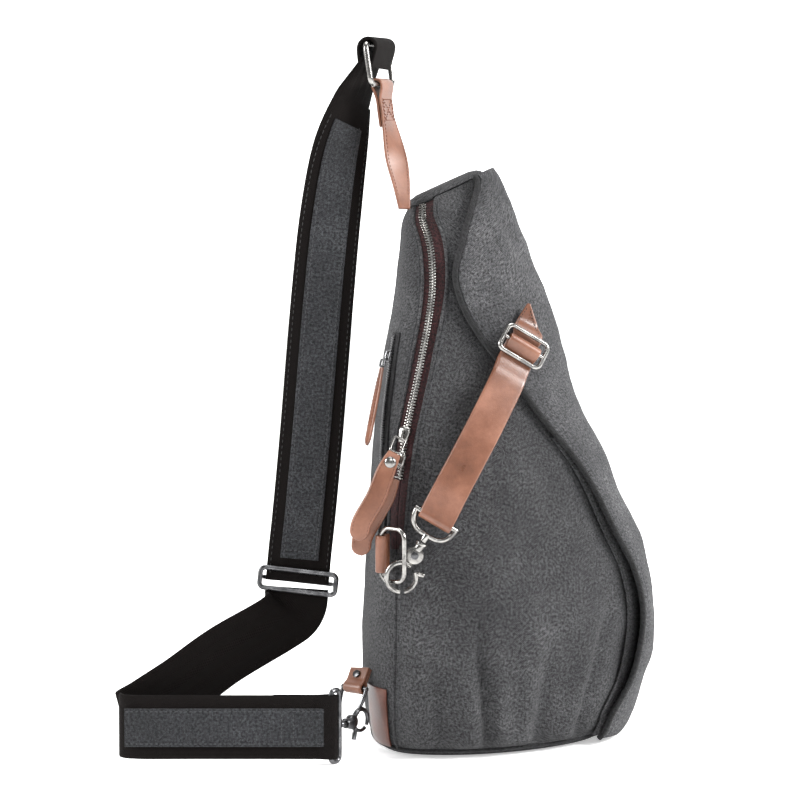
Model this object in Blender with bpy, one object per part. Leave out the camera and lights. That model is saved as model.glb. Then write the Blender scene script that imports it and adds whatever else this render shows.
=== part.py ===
"""A canvas sling bag: tall tapering body, wrap-round front flap, one shoulder strap, leather and nickel trim.

Millimetres in the constants, metres in the meshes. +X is the flap side, the back panel faces -X, the near
side seam with the main zip faces -Y, and the bag stands on its base at Z = 0.
"""

import math

import bmesh
import bpy
from mathutils import Matrix, Vector

for old in list(bpy.data.objects):
    bpy.data.objects.remove(old, do_unlink=True)

MM = 0.001
GAP = 0.4  # air between two pieces that touch on the real bag

# Body: back edge (x, z), front edge (x, z) and half width of each level, from the base seam to the top seam.
LEVELS = (
    ((-10, 3), (154, 3), 84),
    ((-15, 14), (166, 14), 95),
    ((-18, 45), (175, 48), 100),
    ((-18, 85), (180, 92), 101),
    ((-16, 130), (174, 134), 98),
    ((-12, 190), (152, 194), 89),
    ((-9, 232), (131, 240), 80),
    ((-3, 275), (118, 285), 70),
    ((4, 316), (104, 330), 58),
    ((8, 350), (89, 368), 45),
    ((10, 372), (77, 396), 33),
    ((13, 384), (68, 409), 24),
)
TOP = len(LEVELS) - 1
WIDEST = 0.30  # share of the depth, from the back, at which a level is widest
BACK_ROUND = (0.86, 0.70)  # how square the two back corners are
FRONT_ROUND = (0.42, 0.46)  # how round the front is

SKIN = 2.0  # canvas with its backing
FOAM = (3.0, 7.6)  # depth of the back foam's two faces under the canvas
LINING = (8.4, 9.4)
BASE_LIFT = 0.45  # level at which the base panel meets the walls
FAR_GAP = 0.006  # share of a level left open between the two walls on the far side

# Side seam, drawn on the near side as (x, z): straight up, then forward round the zip, then back to the top.
SEAM = ((4, 20), (4, 60), (5, 118), (6, 170), (11, 220), (17, 250), (22, 273), (28, 305), (31, 335),
        (29, 360), (24, 378))
ZIP_LOW, ZIP_HIGH = 5.1, 10.75  # levels between which the main zip runs
TAPE_HALF = 6.5
TEETH_HALF = 2.4
TEETH_PITCH = 2.6

# Free edge of the flap on the near side as (x, z), from the bottom up.
FLAP_EDGE = ((154, 24), (166, 50), (171, 75), (172, 100), (166, 128), (155, 152), (138, 190), (117, 222),
             (97, 250), (77, 277), (61, 300), (52, 318), (48, 338), (53, 360), (58, 379), (63, 402))
FLAP_STAND = (3.9, 6.2)  # inner and outer face of the flap above the body
FLAP_SLACK = 8.0  # how far more the flap stands off at its lower front
FLAP_SLACK_LEVEL = 3.0
FLAP_SEAM_X = 62.0  # where the flap is sewn down on the far side
WELT = 2.1  # radius of the piping along the free edge
POCKET_FACE = (1.3, 3.0)
POCKET_LEVELS = (0.7, 5.6)

WEBBING = 45.0
WEB_THICK = 2.4
STRIP = 27.0
STRIP_THICK = 1.0
LEATHER = 2.0
FLAP_STRAP = 25.0
STRAP_TURN = 3.2
STRAP_SINK = 4.2  # how far the strap dips to pass under the buckle's lower bar

FLAP_LEVELS = (0.75, 10.85)
FLAP_HINGE = (64, 104, 160)  # a point of the line on the far side about which the flap opens
BUCKLE_AT = (85, 284)
BUCKLE_LIFT = 11.4
BUCKLE_BAR = Vector((0.80, 0.15, -0.58))

MAIN_SLIDER = 5.85
SECOND_SLIDER = 5.42
SLIDER_SIZE = (8.6, 11.0, 2.5, 2.6)
MAIN_PULL_STEPS = ((-4, -6, -10), (-10, -10, -22), (-17, -12, -40), (-27, -13, -58), (-28, -13, -70))
SECOND_PULL_STEPS = ((-2, -1, -10), (-7, -1.5, -22), (-15, -2, -36), (-23.5, -2.5, -52), (-24, -2.5, -64))
PULL_ACROSS = Vector((0.93, 0, -0.36))
BACK_ZIP_T = 0.44
BACK_ZIP_LEVELS = (4.2, 7.5)
BACK_SLIDER = 7.1

# Snap hook: its ring's middle, the way it hangs, and the bar of its eye.
HOOK_RING = Vector((9, -106, 131))
HOOK_DOWN = Vector((-0.51, 0, -0.86)).normalized()
EYE_ALONG = Vector((0.86, 0, -0.51)).normalized()
HOOK_RADIUS = 10.2
EYE_HALF = 15.5

SIDE_LOOP_Z = 146
SIDE_LEG = Vector((-5, -97, 146))
SIDE_RING_WIDE = 21.0
SIDE_RING_TALL = 37.0

# Rectangular ring at the top, between the leather tab and the shoulder strap.
RING_LOW_BAR = Vector((-5, -2, 472))
RING_TOP_BAR = Vector((-9, -1, 501))
RING_ALONG = Vector((0.30, 0.95, 0)).normalized()
TOP_TURN = 6.4

TAB_WIDTH = 27.0
TAB_AWAY = Vector((0.14, -0.06, -1)).normalized()
TAB_TIP = (
    ((11, -28, 384), (0.93, 0.35, 0), 9),
    ((9, -20, 400), (0.86, 0.5, 0), 14),
    ((6, -12, 416), (0.75, 0.66, 0), 20),
    ((3, -7, 432), (0.5, 0.86, 0), 25),
)

# Shoulder strap, from the tri-glide up to the ring, then from the tri-glide down and round to its end ring:
# each stop is (centre, width direction).
UPPER_ROUTE = (
    ((-65, -54.5, 120), (0.98, 0.05, -0.15)),
    ((-63, -52.5, 142), (0.99, 0.02, -0.10)),
    ((-60, -50, 170), (0.99, 0.00, -0.06)),
    ((-55, -42, 225), (0.99, 0.00, -0.04)),
    ((-51, -33, 276), (0.99, 0.05, -0.03)),
    ((-47, -26, 325), (0.98, 0.12, -0.04)),
    ((-42, -19, 376), (0.95, 0.25, -0.05)),
    ((-35, -12, 424), (0.85, 0.50, -0.05)),
    ((-25, -5, 462), (0.55, 0.83, -0.02)),
)
LOWER_ROUTE = (
    ((-65.4, -55, 116), (0.98, 0.05, -0.15)),
    ((-67, -56.5, 103), (0.96, 0.10, -0.20)),
    ((-78, -62, 92), (0.72, 0.35, -0.60)),
    ((-116, -75, 71), (0.38, 0.20, -0.90)),
    ((-146, -84, 50), (0.18, 0.08, -0.98)),
    ((-170, -90, 35), (0.06, 0.02, -1.00)),
    ((-185, -97, 28), (0.00, 0.00, -1.00)),
    ((-185, -107, 27), (0.00, 0.00, -1.00)),
    ((-172, -112, 27), (0.00, 0.00, -1.00)),
    ((-140, -112, 27), (0.00, 0.00, -1.00)),
    ((-100, -112, 27), (0.00, 0.00, -1.00)),
)
GLIDE_AT = Vector((-64.6, -54.7, 121))
GLIDE_ALONG = Vector((0.11, 0.10, 0.99)).normalized()
GLIDE_ACROSS = Vector((0.98, 0.05, -0.12)).normalized()
END_BAR = Vector((-40, -111, 27))
END_RING_TALL = 50.0
LOWER_HEADING = Vector((0.62, 0.78, 0)).normalized()

CORNER_BAR = Vector((-24, -70, 47))
CORNER_ALONG = Vector((0.75, -0.66, 0)).normalized()
CORNER_AWAY = Vector((0.30, 0.50, 0.80)).normalized()


# ---------------------------------------------------------------- body surface

def catmull(rows, at):
    """The row at a fractional place along equally spaced rows of numbers."""
    last = len(rows) - 1
    at = min(max(at, -0.4), last + 0.4)
    i = min(max(int(math.floor(at)), 0), last - 1)
    f = at - i
    before, here, there, after = (rows[min(max(k, 0), last)] for k in (i - 1, i, i + 1, i + 2))
    out = []
    for a, b, c, d in zip(before, here, there, after):
        square, cube = 2 * a - 5 * b + 4 * c - d, 3 * b - a - 3 * c + d
        out.append(0.5 * (2 * b + (c - a) * f + square * f * f + cube * f ** 3))
    return out


def level(v):
    bx, bz, fx, fz, half = catmull([back + front + (w,) for back, front, w in LEVELS], v)
    return Vector((bx, 0, bz)), Vector((fx, 0, fz)), half


def bezier(a, b, c, d, f):
    g = 1 - f
    return a * g ** 3 + 3 * b * g * g * f + 3 * c * g * f * f + d * f ** 3


def outline(t):
    """Half a level, as (share of depth, share of half width). t is 0 at the back, 1 widest, 2 in front."""
    if t <= 1:
        return (bezier(0, 0, WIDEST * (1 - BACK_ROUND[1]), WIDEST, t), bezier(0, BACK_ROUND[0], 1, 1, t))
    f = t - 1
    rest = 1 - WIDEST
    return (WIDEST + bezier(0, rest * FRONT_ROUND[0], rest, rest, f), bezier(1, 1, FRONT_ROUND[1], 0, f))


def surface(v, t):
    """A point of the body. t runs from the middle of the back (0) by the near side (1), the front (2) and the
    far side (3) to the back again (4)."""
    back, front, half = level(v)
    t = t % 4
    side = -1 if t <= 2 else 1
    share, width = outline(t if t <= 2 else 4 - t)
    return back.lerp(front, share) + Vector((0, side * width * half, 0))


def normal(v, t):
    up = surface(v + 0.05, t) - surface(v - 0.05, t)
    along = surface(v, t + 0.02) - surface(v, t - 0.02)
    return along.cross(up).normalized()


def skin(v, t, lift=0.0):
    return surface(v, t) + normal(v, t) * lift


def shifted(v, t, distance):
    """t moved by a distance along the level."""
    speed = (surface(v, t + 0.01) - surface(v, t - 0.01)).length / 0.02
    return t + distance / speed


def locate(x, z):
    """(v, t) of the near side's point at this x and z."""
    low, high = -0.3, TOP + 0.3
    for _ in range(40):
        v = (low + high) / 2
        back, front, _half = level(v)
        height = back.z + (front.z - back.z) * (x - back.x) / (front.x - back.x)
        if height < z:
            low = v
        else:
            high = v
    back, front, _half = level(v)
    share = min(max((x - back.x) / (front.x - back.x), 0), 1)
    low, high = 0.0, 2.0
    for _ in range(40):
        t = (low + high) / 2
        if outline(t)[0] < share:
            low = t
        else:
            high = t
    return v, t


def track(points):
    """t as a function of v through points given as (x, z), bottom up."""
    known = [locate(x, z) for x, z in points]

    def at(v):
        if v <= known[0][0]:
            return known[0][1]
        for i in range(len(known) - 1):
            (v0, t0), (v1, t1) = known[i], known[i + 1]
            if v <= v1:
                f = (v - v0) / max(v1 - v0, 1e-6)
                rows = [(known[min(max(k, 0), len(known) - 1)][1],) for k in (i - 1, i, i + 1, i + 2)]
                return catmull(rows, 1 + f)[0]
        return known[-1][1]

    return at


seam_t = track(SEAM)
flap_t = track(FLAP_EDGE)


def zip_open(v):
    """Half the gap between back panel and front shell: wide along the zip, closed below it."""
    return GAP / 2 + (TAPE_HALF + GAP) * eased((v - (ZIP_LOW - 0.85)) / 0.3)


# ---------------------------------------------------------------- mesh helpers

def material(name, colour, metallic=0.0, roughness=0.8):
    made = bpy.data.materials.get(name)
    if made is None:
        made = bpy.data.materials.new(name)
        made.use_nodes = True
        shader = made.node_tree.nodes["Principled BSDF"]
        shader.inputs["Base Color"].default_value = (*colour, 1)
        shader.inputs["Metallic"].default_value = metallic
        shader.inputs["Roughness"].default_value = roughness
    return made


def canvas():
    return material("canvas", (0.06, 0.065, 0.07), roughness=0.9)


def canvas_light():
    return material("canvas_light", (0.12, 0.125, 0.13), roughness=0.9)


def piping_fabric():
    return material("piping_fabric", (0.02, 0.02, 0.022), roughness=0.85)


def webbing_fabric():
    return material("webbing_fabric", (0.015, 0.01, 0.009), roughness=0.85)


def leather():
    return material("leather", (0.22, 0.075, 0.03), roughness=0.45)


def dark_leather():
    return material("dark_leather", (0.07, 0.02, 0.012), roughness=0.5)


def tape_fabric():
    return material("tape_fabric", (0.035, 0.006, 0.008), roughness=0.85)


def nickel():
    return material("nickel", (0.55, 0.54, 0.52), 1.0, 0.28)


def gunmetal():
    return material("gunmetal", (0.12, 0.12, 0.13), 1.0, 0.3)


def board():
    return material("board", (0.12, 0.09, 0.06), roughness=0.8)


def foam():
    return material("foam", (0.3, 0.3, 0.3), roughness=0.95)


def lining_cloth():
    return material("lining_cloth", (0.05, 0.04, 0.03), roughness=0.8)


def add_object(name, points, faces, look):
    """A closed mesh from points in millimetres, its faces turned outwards."""
    mesh = bpy.data.meshes.new(name)
    mesh.from_pydata([p * MM for p in points], [], faces)
    work = bmesh.new()
    work.from_mesh(mesh)
    bmesh.ops.remove_doubles(work, verts=work.verts, dist=1e-6)
    bmesh.ops.triangulate(work, faces=[f for f in work.faces if len(f.verts) > 4])
    bmesh.ops.recalc_face_normals(work, faces=work.faces)
    work.to_mesh(mesh)
    work.free()
    mesh.materials.append(look)
    mesh.shade_smooth()
    mesh.set_sharp_from_angle(angle=math.radians(40))
    made = bpy.data.objects.new(name, mesh)
    bpy.context.scene.collection.objects.link(made)
    return made


def loft(name, rings, look, closed=False):
    """A solid through rings of equal length, capped at both ends unless it closes on itself."""
    count = len(rings[0])
    points = [p for ring in rings for p in ring]
    faces = []
    for i in range(len(rings) if closed else len(rings) - 1):
        j = (i + 1) % len(rings)
        for k in range(count):
            n = (k + 1) % count
            faces.append((i * count + k, i * count + n, j * count + n, j * count + k))
    if not closed:
        faces.append(tuple(range(count)))
        faces.append(tuple((len(rings) - 1) * count + k for k in range(count)))
    return add_object(name, points, faces, look)


def patch(name, low, high, start, end, inner, outer, rows, columns, look):
    """A curved sheet on the body between two levels and two tracks; inner and outer give its faces' lift."""
    rings = []
    for i in range(rows + 1):
        v = low + (high - low) * i / rows
        t0, t1 = start(v), end(v)
        lifts = inner(v) if callable(inner) else inner, outer(v) if callable(outer) else outer
        ts = [t0 + (t1 - t0) * k / columns for k in range(columns + 1)]
        ring = [skin(v, t, lifts[1]) for t in ts]
        ring += [skin(v, t, lifts[0]) for t in reversed(ts)]
        rings.append(ring)
    return loft(name, rings, look)


def smooth_path(points, steps):
    """Points of a smooth curve through hand-set points, each a tuple of any length."""
    total = (len(points) - 1) * steps
    return [catmull(points, i / steps) for i in range(total + 1)]


def ribbon(name, stations, thick, look, closed=False):
    """A flat strap. Each station is (centre, width direction, width)."""
    rings = []
    count = len(stations)
    for i, (centre, across, width) in enumerate(stations):
        ahead = stations[(i + 1) % count if closed else min(i + 1, count - 1)][0]
        behind = stations[(i - 1) % count if closed else max(i - 1, 0)][0]
        along = (ahead - behind).normalized()
        across = (across - along * across.dot(along)).normalized()
        face = across.cross(along).normalized()
        half = across * width / 2
        rings.append([centre + half + face * thick / 2, centre - half + face * thick / 2,
                      centre - half - face * thick / 2, centre + half - face * thick / 2])
    return loft(name, rings, look, closed)


def tube(name, centres, radius, sides, look, closed=False):
    """Round wire along centres, turned without twist."""
    rings = []
    count = len(centres)
    side = None
    frames = []
    for i, centre in enumerate(centres):
        ahead = centres[(i + 1) % count if closed else min(i + 1, count - 1)]
        behind = centres[(i - 1) % count if closed else max(i - 1, 0)]
        along = (ahead - behind).normalized()
        if side is None:
            side = along.orthogonal().normalized()
        side = (side - along * side.dot(along)).normalized()
        frames.append((centre, side, along.cross(side)))
    for centre, one, two in frames:
        rings.append([centre + (one * math.cos(a) + two * math.sin(a)) * radius
                      for a in (2 * math.pi * k / sides for k in range(sides))])
    return loft(name, rings, look, closed)


def rod(name, start, end, radius, sides, look):
    return tube(name, [start, end], radius, sides, look)


def slab(name, corners, direction, thick, look):
    """A flat piece: an outline of points, given depth along a direction."""
    depth = direction.normalized() * thick
    return loft(name, [list(corners), [p + depth for p in corners]], look)


def fused(name, pieces, look):
    """One solid from pieces that overlap."""
    body = pieces[0]
    for piece in pieces[1:]:
        join = body.modifiers.new("join", "BOOLEAN")
        join.operation = "UNION"
        join.solver = "EXACT"
        join.object = piece
    graph = bpy.context.evaluated_depsgraph_get()
    mesh = bpy.data.meshes.new_from_object(body.evaluated_get(graph))
    mesh.name = name
    for piece in pieces:
        bpy.data.objects.remove(piece, do_unlink=True)
    mesh.materials.clear()
    mesh.materials.append(look)
    made = bpy.data.objects.new(name, mesh)
    bpy.context.scene.collection.objects.link(made)
    return made


def arc(centre, one, two, radius, start, end, steps):
    """Points of an arc in the plane of two directions, in degrees."""
    angles = (math.radians(start + (end - start) * i / steps) for i in range(steps + 1))
    return [centre + (one * math.cos(a) + two * math.sin(a)) * radius for a in angles]


def rounded_loop(centre, one, two, half_one, half_two, corner, steps=3):
    """A rectangle with round corners as a closed list of points."""
    points = []
    for quarter, (su, sw) in enumerate(((1, 1), (-1, 1), (-1, -1), (1, -1))):
        middle = centre + one * su * (half_one - corner) + two * sw * (half_two - corner)
        points += arc(middle, one, two, corner, 90 * quarter, 90 * quarter + 90, steps)
    return points


def set_origin(pieces, pivot):
    """Moves the pieces' origins onto a joint's axis without moving their shapes."""
    place = pivot * MM
    for piece in pieces:
        piece.data.transform(Matrix.Translation(-place))
        piece.location = place


def eased(f):
    """0 to 1 with a soft start and end."""
    f = min(max(f, 0), 1)
    return f * f * (3 - 2 * f)


def hairpin(bar, away, face, radius, lead, front, back, flat):
    """Centre line of a strap folded round a bar: down the front layer, round the bar, up the back layer."""
    layers = []
    for side, length in ((1, front), (-1, back)):
        run = []
        for share in (0, 0.25, 0.5, 0.75, 1):
            reach = share * length
            run.append(bar + away * reach + face * side * (radius + (flat - radius) * eased(reach / lead)))
        layers.append(run)
    turn = arc(bar, face, -away, radius, 0, 180, 6)[1:-1]
    return list(reversed(layers[0])) + turn + layers[1]


# ---------------------------------------------------------------- body pieces

def seam_back(v):
    """Where the back panel ends on the near side."""
    return shifted(v, seam_t(v), -zip_open(v))


def seam_front(v):
    """Where the front shell starts on the near side."""
    return shifted(v, seam_t(v), zip_open(v))


def far_seam(v):
    """The far side's seam mirrors the near one and has no zip."""
    return -seam_t(v)


def near(x, z, lift=0.0):
    """A point of the near side, lifted off it."""
    return skin(*locate(x, z), lift)


def inset(v, t, depth):
    """A point of a level drawn in towards the level's middle."""
    back, front, half = level(v)
    middle = (back + front) / 2
    reach = (front - back).length / 2
    out = surface(v, t) - middle
    shrink = (reach - depth) / reach
    return middle + Vector((out.x * shrink, out.y * (half - depth) / half, out.z * shrink))


def level_ring(v, depth, count, height=None, lift=0.0):
    """A whole level as a ring, drawn in by depth, at a set height or lifted square to its own plane."""
    back, front, _half = level(v)
    slope = (front - back).normalized()
    up = Vector((-slope.z, 0, slope.x)) * lift
    ring = [inset(v, 4 * k / count, depth) + up for k in range(count)]
    if height is not None:
        ring = [Vector((p.x, p.y, height)) for p in ring]
    return ring


def build_walls():
    low, high = BASE_LIFT, TOP - 0.05
    patch("back_panel", low, high, lambda v: far_seam(v) + FAR_GAP, seam_back, -SKIN, 0, 22, 12, canvas())
    patch("front_shell", low, high, seam_front, lambda v: 4 + far_seam(v), -SKIN, 0, 22, 24, canvas())


def build_base_and_top():
    count = 40
    rim = BASE_LIFT - 0.04
    rings = [level_ring(0, 9, count, height=0)]
    rings += [level_ring(v, 0, count) for v in (0, 0.2, rim)]
    rings += [level_ring(v, SKIN, count) for v in (rim, 0.2)]
    rings.append(level_ring(0, 12, count, height=SKIN + 0.4))
    loft("base_panel", rings, canvas())
    loft("base_board", [level_ring(0.1, 17, count, height=z) for z in (3.2, 5.4)], board())
    rings = [level_ring(TOP, 0, 24), level_ring(TOP, 2, 24, lift=3.0), level_ring(TOP, 8, 24, lift=5.5)]
    loft("top_panel", rings, canvas())


def build_inside():
    low, high = BASE_LIFT + 0.45, TOP - 2.0
    patch("back_foam", low, high, lambda v: -0.42, lambda v: 0.42, -FOAM[1], -FOAM[0], 12, 6, foam())
    rings = []
    for i in range(13):
        v = low + (high - low) * i / 12
        start, end = shifted(v, seam_t(v), 14), 4 + shifted(v, seam_t(v), -14)
        ts = [start + (end - start) * k / 28 for k in range(29)]
        rings.append([inset(v, t, LINING[0]) for t in ts] + [inset(v, t, LINING[1]) for t in reversed(ts)])
    loft("lining", rings, lining_cloth())


def build_front_pocket():
    """The outer pocket's face: it lies on the front shell, under the flap."""
    def start(v):
        return flap_t(v) - 0.03

    def end(v):
        return flap_far(v) - 0.08

    low, high = POCKET_LEVELS
    patch("front_pocket_panel", low, high, start, end, *POCKET_FACE, 16, 18, canvas_light())


def build_main_zip():
    def edge(side, distance):
        return lambda v: shifted(v, seam_t(v), side * distance)

    for name, side in (("zip_tape_back", -1), ("zip_tape_front", 1)):
        near_edge, far_edge = edge(side, 0.5), edge(side, TAPE_HALF - GAP / 2)
        first, second = (near_edge, far_edge) if side > 0 else (far_edge, near_edge)
        patch(name, ZIP_LOW, ZIP_HIGH, first, second, -1.5, -0.3, 22, 1, tape_fabric())
    length = (surface(ZIP_HIGH, seam_t(ZIP_HIGH)) - surface(ZIP_LOW, seam_t(ZIP_LOW))).length
    teeth = int(length / TEETH_PITCH)
    rings = []
    for i in range(2 * teeth + 1):
        v = ZIP_LOW + 0.05 + (ZIP_HIGH - 0.1 - ZIP_LOW) * i / (2 * teeth)
        tip = 2.0 if i % 2 else 1.1
        low, high = edge(-1, TEETH_HALF)(v), edge(1, TEETH_HALF)(v)
        rings.append([skin(v, low, tip), skin(v, high, tip), skin(v, high, 0.15), skin(v, low, 0.15)])
    loft("zip_teeth", rings, nickel())
    start, end = edge(-1, TAPE_HALF - 0.4), edge(1, TAPE_HALF - 0.4)
    patch("zip_end_cap", ZIP_HIGH + 0.04, TOP - 0.06, start, end, -1.6, 1.6, 3, 4, piping_fabric())


# ---------------------------------------------------------------- zip sliders and pulls

def slider_frame(v, track_t):
    """(point, up along the zip, across towards the front, out) where a slider sits."""
    t = track_t(v)
    up = (surface(v + 0.1, track_t(v + 0.1)) - surface(v - 0.1, track_t(v - 0.1))).normalized()
    out = normal(v, t)
    across = out.cross(up).normalized()
    return surface(v, t), up, across, up.cross(across).normalized()


def build_slider(name, place, size, look):
    """A die-cast slider: a waisted block over the teeth with a bridge on its face."""
    point, up, across, out = place
    wide, long, base, thick = size

    def oblong(half_wide, half_long, lift):
        return [point + across * a * half_wide + up * b * half_long + out * lift
                for a, b in ((1, 0.6), (0.6, 1), (-0.6, 1), (-1, 0.6), (-0.8, -1), (0.8, -1))]

    plate = loft("plate", [oblong(wide / 2, long / 2, base), oblong(wide / 2, long / 2, base + thick * 0.7),
                           oblong(wide / 2.6, long / 2.4, base + thick)], look)
    foot = point + out * (base + thick - 0.3)
    lug = [foot + across * a * 1.2 + up * b * 3.2 for a, b in ((1, -1), (1, 1), (-1, 1), (-1, -1))]
    return fused(name, [plate, slab("bridge", lug, out, 1.6, look)], look)


def build_pull(prefix, hang, tag_path, tag_across, tag_width, tag_thick, has_rivet, look):
    """A wire ring from the slider's bridge and a leather tag, with a rivet near its top where it has one."""
    down = (tag_path[0] - hang).normalized()
    reach = (tag_path[0] - hang).length
    across = (tag_across - down * tag_across.dot(down)).normalized()
    middle = hang + down * (reach / 2 - 0.7)
    wire = rounded_loop(middle, across, down, 4.0, reach / 2 - 0.5, 1.8)
    ring = tube(prefix + "_ring", wire, 0.8, 6, look, closed=True)
    tag = ribbon(prefix + "_tag", [(p, tag_across, tag_width) for p in tag_path], tag_thick, leather())
    made = [ring, tag]
    if has_rivet:
        run = (tag_path[1] - tag_path[0]).normalized()
        face = tag_across.cross(run).normalized()
        if face.y > 0:
            face = -face
        start = (tag_path[0] + tag_path[1]) / 2 + face * (tag_thick / 2 + 0.7)
        made.append(rod(prefix + "_rivet", start, start + face * 1.3, 4.0, 12, look))
    return made


def build_zip_movers():
    """The three sliders and their pulls, each with its origin on its own axis."""
    place = slider_frame(MAIN_SLIDER, seam_t)
    point, up, across, out = place
    slider = build_slider("slider_main", place, SLIDER_SIZE, nickel())
    set_origin([slider], point)
    hang = point + out * 8.4 - up * 3.0
    path = [hang + Vector(step) for step in MAIN_PULL_STEPS]
    made = build_pull("pull_main", hang, path, PULL_ACROSS, 14.0, 4.0, True, nickel())
    set_origin(made, hang)

    place = slider_frame(SECOND_SLIDER, seam_t)
    point, up, across, out = place
    slider = build_slider("slider_second", place, SLIDER_SIZE, nickel())
    set_origin([slider], point)
    hang = point + out * 8.2 - up * 3.0
    path = [hang + Vector(step) for step in SECOND_PULL_STEPS]
    made = build_pull("pull_second", hang, path, PULL_ACROSS, 14.0, 3.0, False, nickel())
    set_origin(made, hang)


def build_back_zip():
    """A short pocket zip on the back panel, close to its near edge."""
    def line(distance):
        return lambda v: shifted(v, BACK_ZIP_T, distance)

    low, high = BACK_ZIP_LEVELS
    patch("back_zip_tape", low, high, line(-6), line(6), GAP, GAP + 1.0, 12, 2, piping_fabric())
    lifts = GAP + 1.4, GAP + 2.6
    patch("back_zip_teeth", low + 0.06, high - 0.06, line(-2), line(2), *lifts, 12, 1, gunmetal())
    place = slider_frame(BACK_SLIDER, lambda v: BACK_ZIP_T)
    point, up, across, out = place
    slider = build_slider("slider_back", place, (6.5, 8.0, 3.6, 2.0), gunmetal())
    set_origin([slider], point)
    hang = point + out * 8.4 - up * 3.0
    down = (-up + out * 0.06).normalized()
    path = [hang + down * reach for reach in (6, 20, 40, 62)]
    made = build_pull("pull_back", hang, path, across, 9.0, 1.8, False, gunmetal())
    set_origin(made, hang)


# ---------------------------------------------------------------- flap and its strap

def flap_lift(face):
    """How far a face of the flap stands off: close at the top, slack over the pocket's mouth."""
    def at(v):
        f = max(0.0, 1 - abs(v - FLAP_SLACK_LEVEL) / 3.2)
        return face + FLAP_SLACK * f * f * (3 - 2 * f)
    return at


def flap_far(v):
    """Where the flap is sewn down: a straight line up the far side."""
    back, front, _half = level(v)
    share = min(max((FLAP_SEAM_X - back.x) / (front.x - back.x), 0), 1)
    low, high = 0.0, 2.0
    for _ in range(30):
        t = (low + high) / 2
        if outline(t)[0] < share:
            low = t
        else:
            high = t
    return 4 - t


def build_flap():
    low, high = FLAP_LEVELS
    inner, outer = (flap_lift(face) for face in FLAP_STAND)
    flap = patch("front_flap", low, high, flap_t, flap_far, inner, outer, 26, 18, canvas_light())
    middle = flap_lift((FLAP_STAND[0] + FLAP_STAND[1]) / 2)
    steps = 44
    centres = []
    for i in range(steps + 1):
        v = low + (high - low) * i / steps
        centres.append(skin(v, shifted(v, flap_t(v), -WELT - GAP - 0.4), middle(v)))
    piping = tube("flap_piping", centres, WELT, 6, piping_fabric())
    return [flap, piping]


def buckle_frame():
    """(middle, along the bar, down the strap, out) of the slide buckle, which lies in line with the strap."""
    v, t = locate(*BUCKLE_AT)
    middle = skin(v, t, flap_lift(FLAP_STAND[1])(v) + BUCKLE_LIFT)
    down = (hook_top() - middle).normalized()
    bar = (BUCKLE_BAR - down * BUCKLE_BAR.dot(down)).normalized()
    out = bar.cross(down).normalized()
    if out.y > 0:
        out = -out
    return middle, bar, down, out


def build_flap_patch():
    """The leather triangle sewn on the flap, folded round the buckle's upper bar."""
    middle, bar, down, out = buckle_frame()
    base = middle - out * (BUCKLE_LIFT - 1.4)
    corners = [base - down * 8.5 - bar * 12.5, base - down * 8.5 + bar * 10.5, base - down * 31.0 - bar * 8.0]
    return slab("flap_patch", corners, out, 2.0, leather())


def build_flap_strap():
    middle, bar, down, out = buckle_frame()
    wire = rounded_loop(middle, bar, down, 16.5, 9.5, 4.0)
    frame = tube("buckle_ring", wire, 1.5, 8, nickel(), closed=True)
    centre_bar = rod("buckle_bar", middle - bar * 17.8, middle + bar * 17.8, 1.4, 8, nickel())
    buckle = fused("flap_buckle", [frame, centre_bar], nickel())

    end = hook_top()
    along = (end - middle).normalized()
    span = (end - middle).length
    front, back = [], []
    for distance in (0, 2.2, 4.4, 6.6, 9.5, 12.5, 16, 21, 28, 40, 55, 70, 85, 97, 107, 115, 122, span):
        reach = distance / span
        across = bar.lerp(EYE_ALONG, reach)
        face = across.cross(along).normalized()
        face = face if face.dot(out) > 0 else -face
        closing = eased(distance / 8.0) * eased((span - 6 - distance) / 20)
        apart = STRAP_TURN + (LEATHER / 2 + 0.2 - STRAP_TURN) * closing
        sink = STRAP_SINK * eased(distance / 8.5) * eased((27 - distance) / 14)
        centre = middle + along * distance + face * (5.0 * math.sin(math.pi * reach) ** 2 - sink)
        front.append((centre + face * apart, across))
        back.append((centre - face * apart, across))
        if distance == 0:
            top_turn = [(p, across) for p in arc(middle, -face, -along, STRAP_TURN, 0, 180, 6)[1:-1]]
    low_turn = [(p, across) for p in arc(end, face, along, STRAP_TURN, 0, 180, 6)[1:-1]]
    loop = front + low_turn + back[::-1] + top_turn
    stations = [(centre, across, FLAP_STRAP) for centre, across in loop]
    strap = ribbon("flap_strap", stations, LEATHER, leather(), closed=True)
    set_origin([buckle, strap], middle - down * 9.5)


def hook_top():
    """Middle of the snap hook's eye bar, inside the strap's end loop."""
    return HOOK_RING - HOOK_DOWN * 47.0


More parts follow.
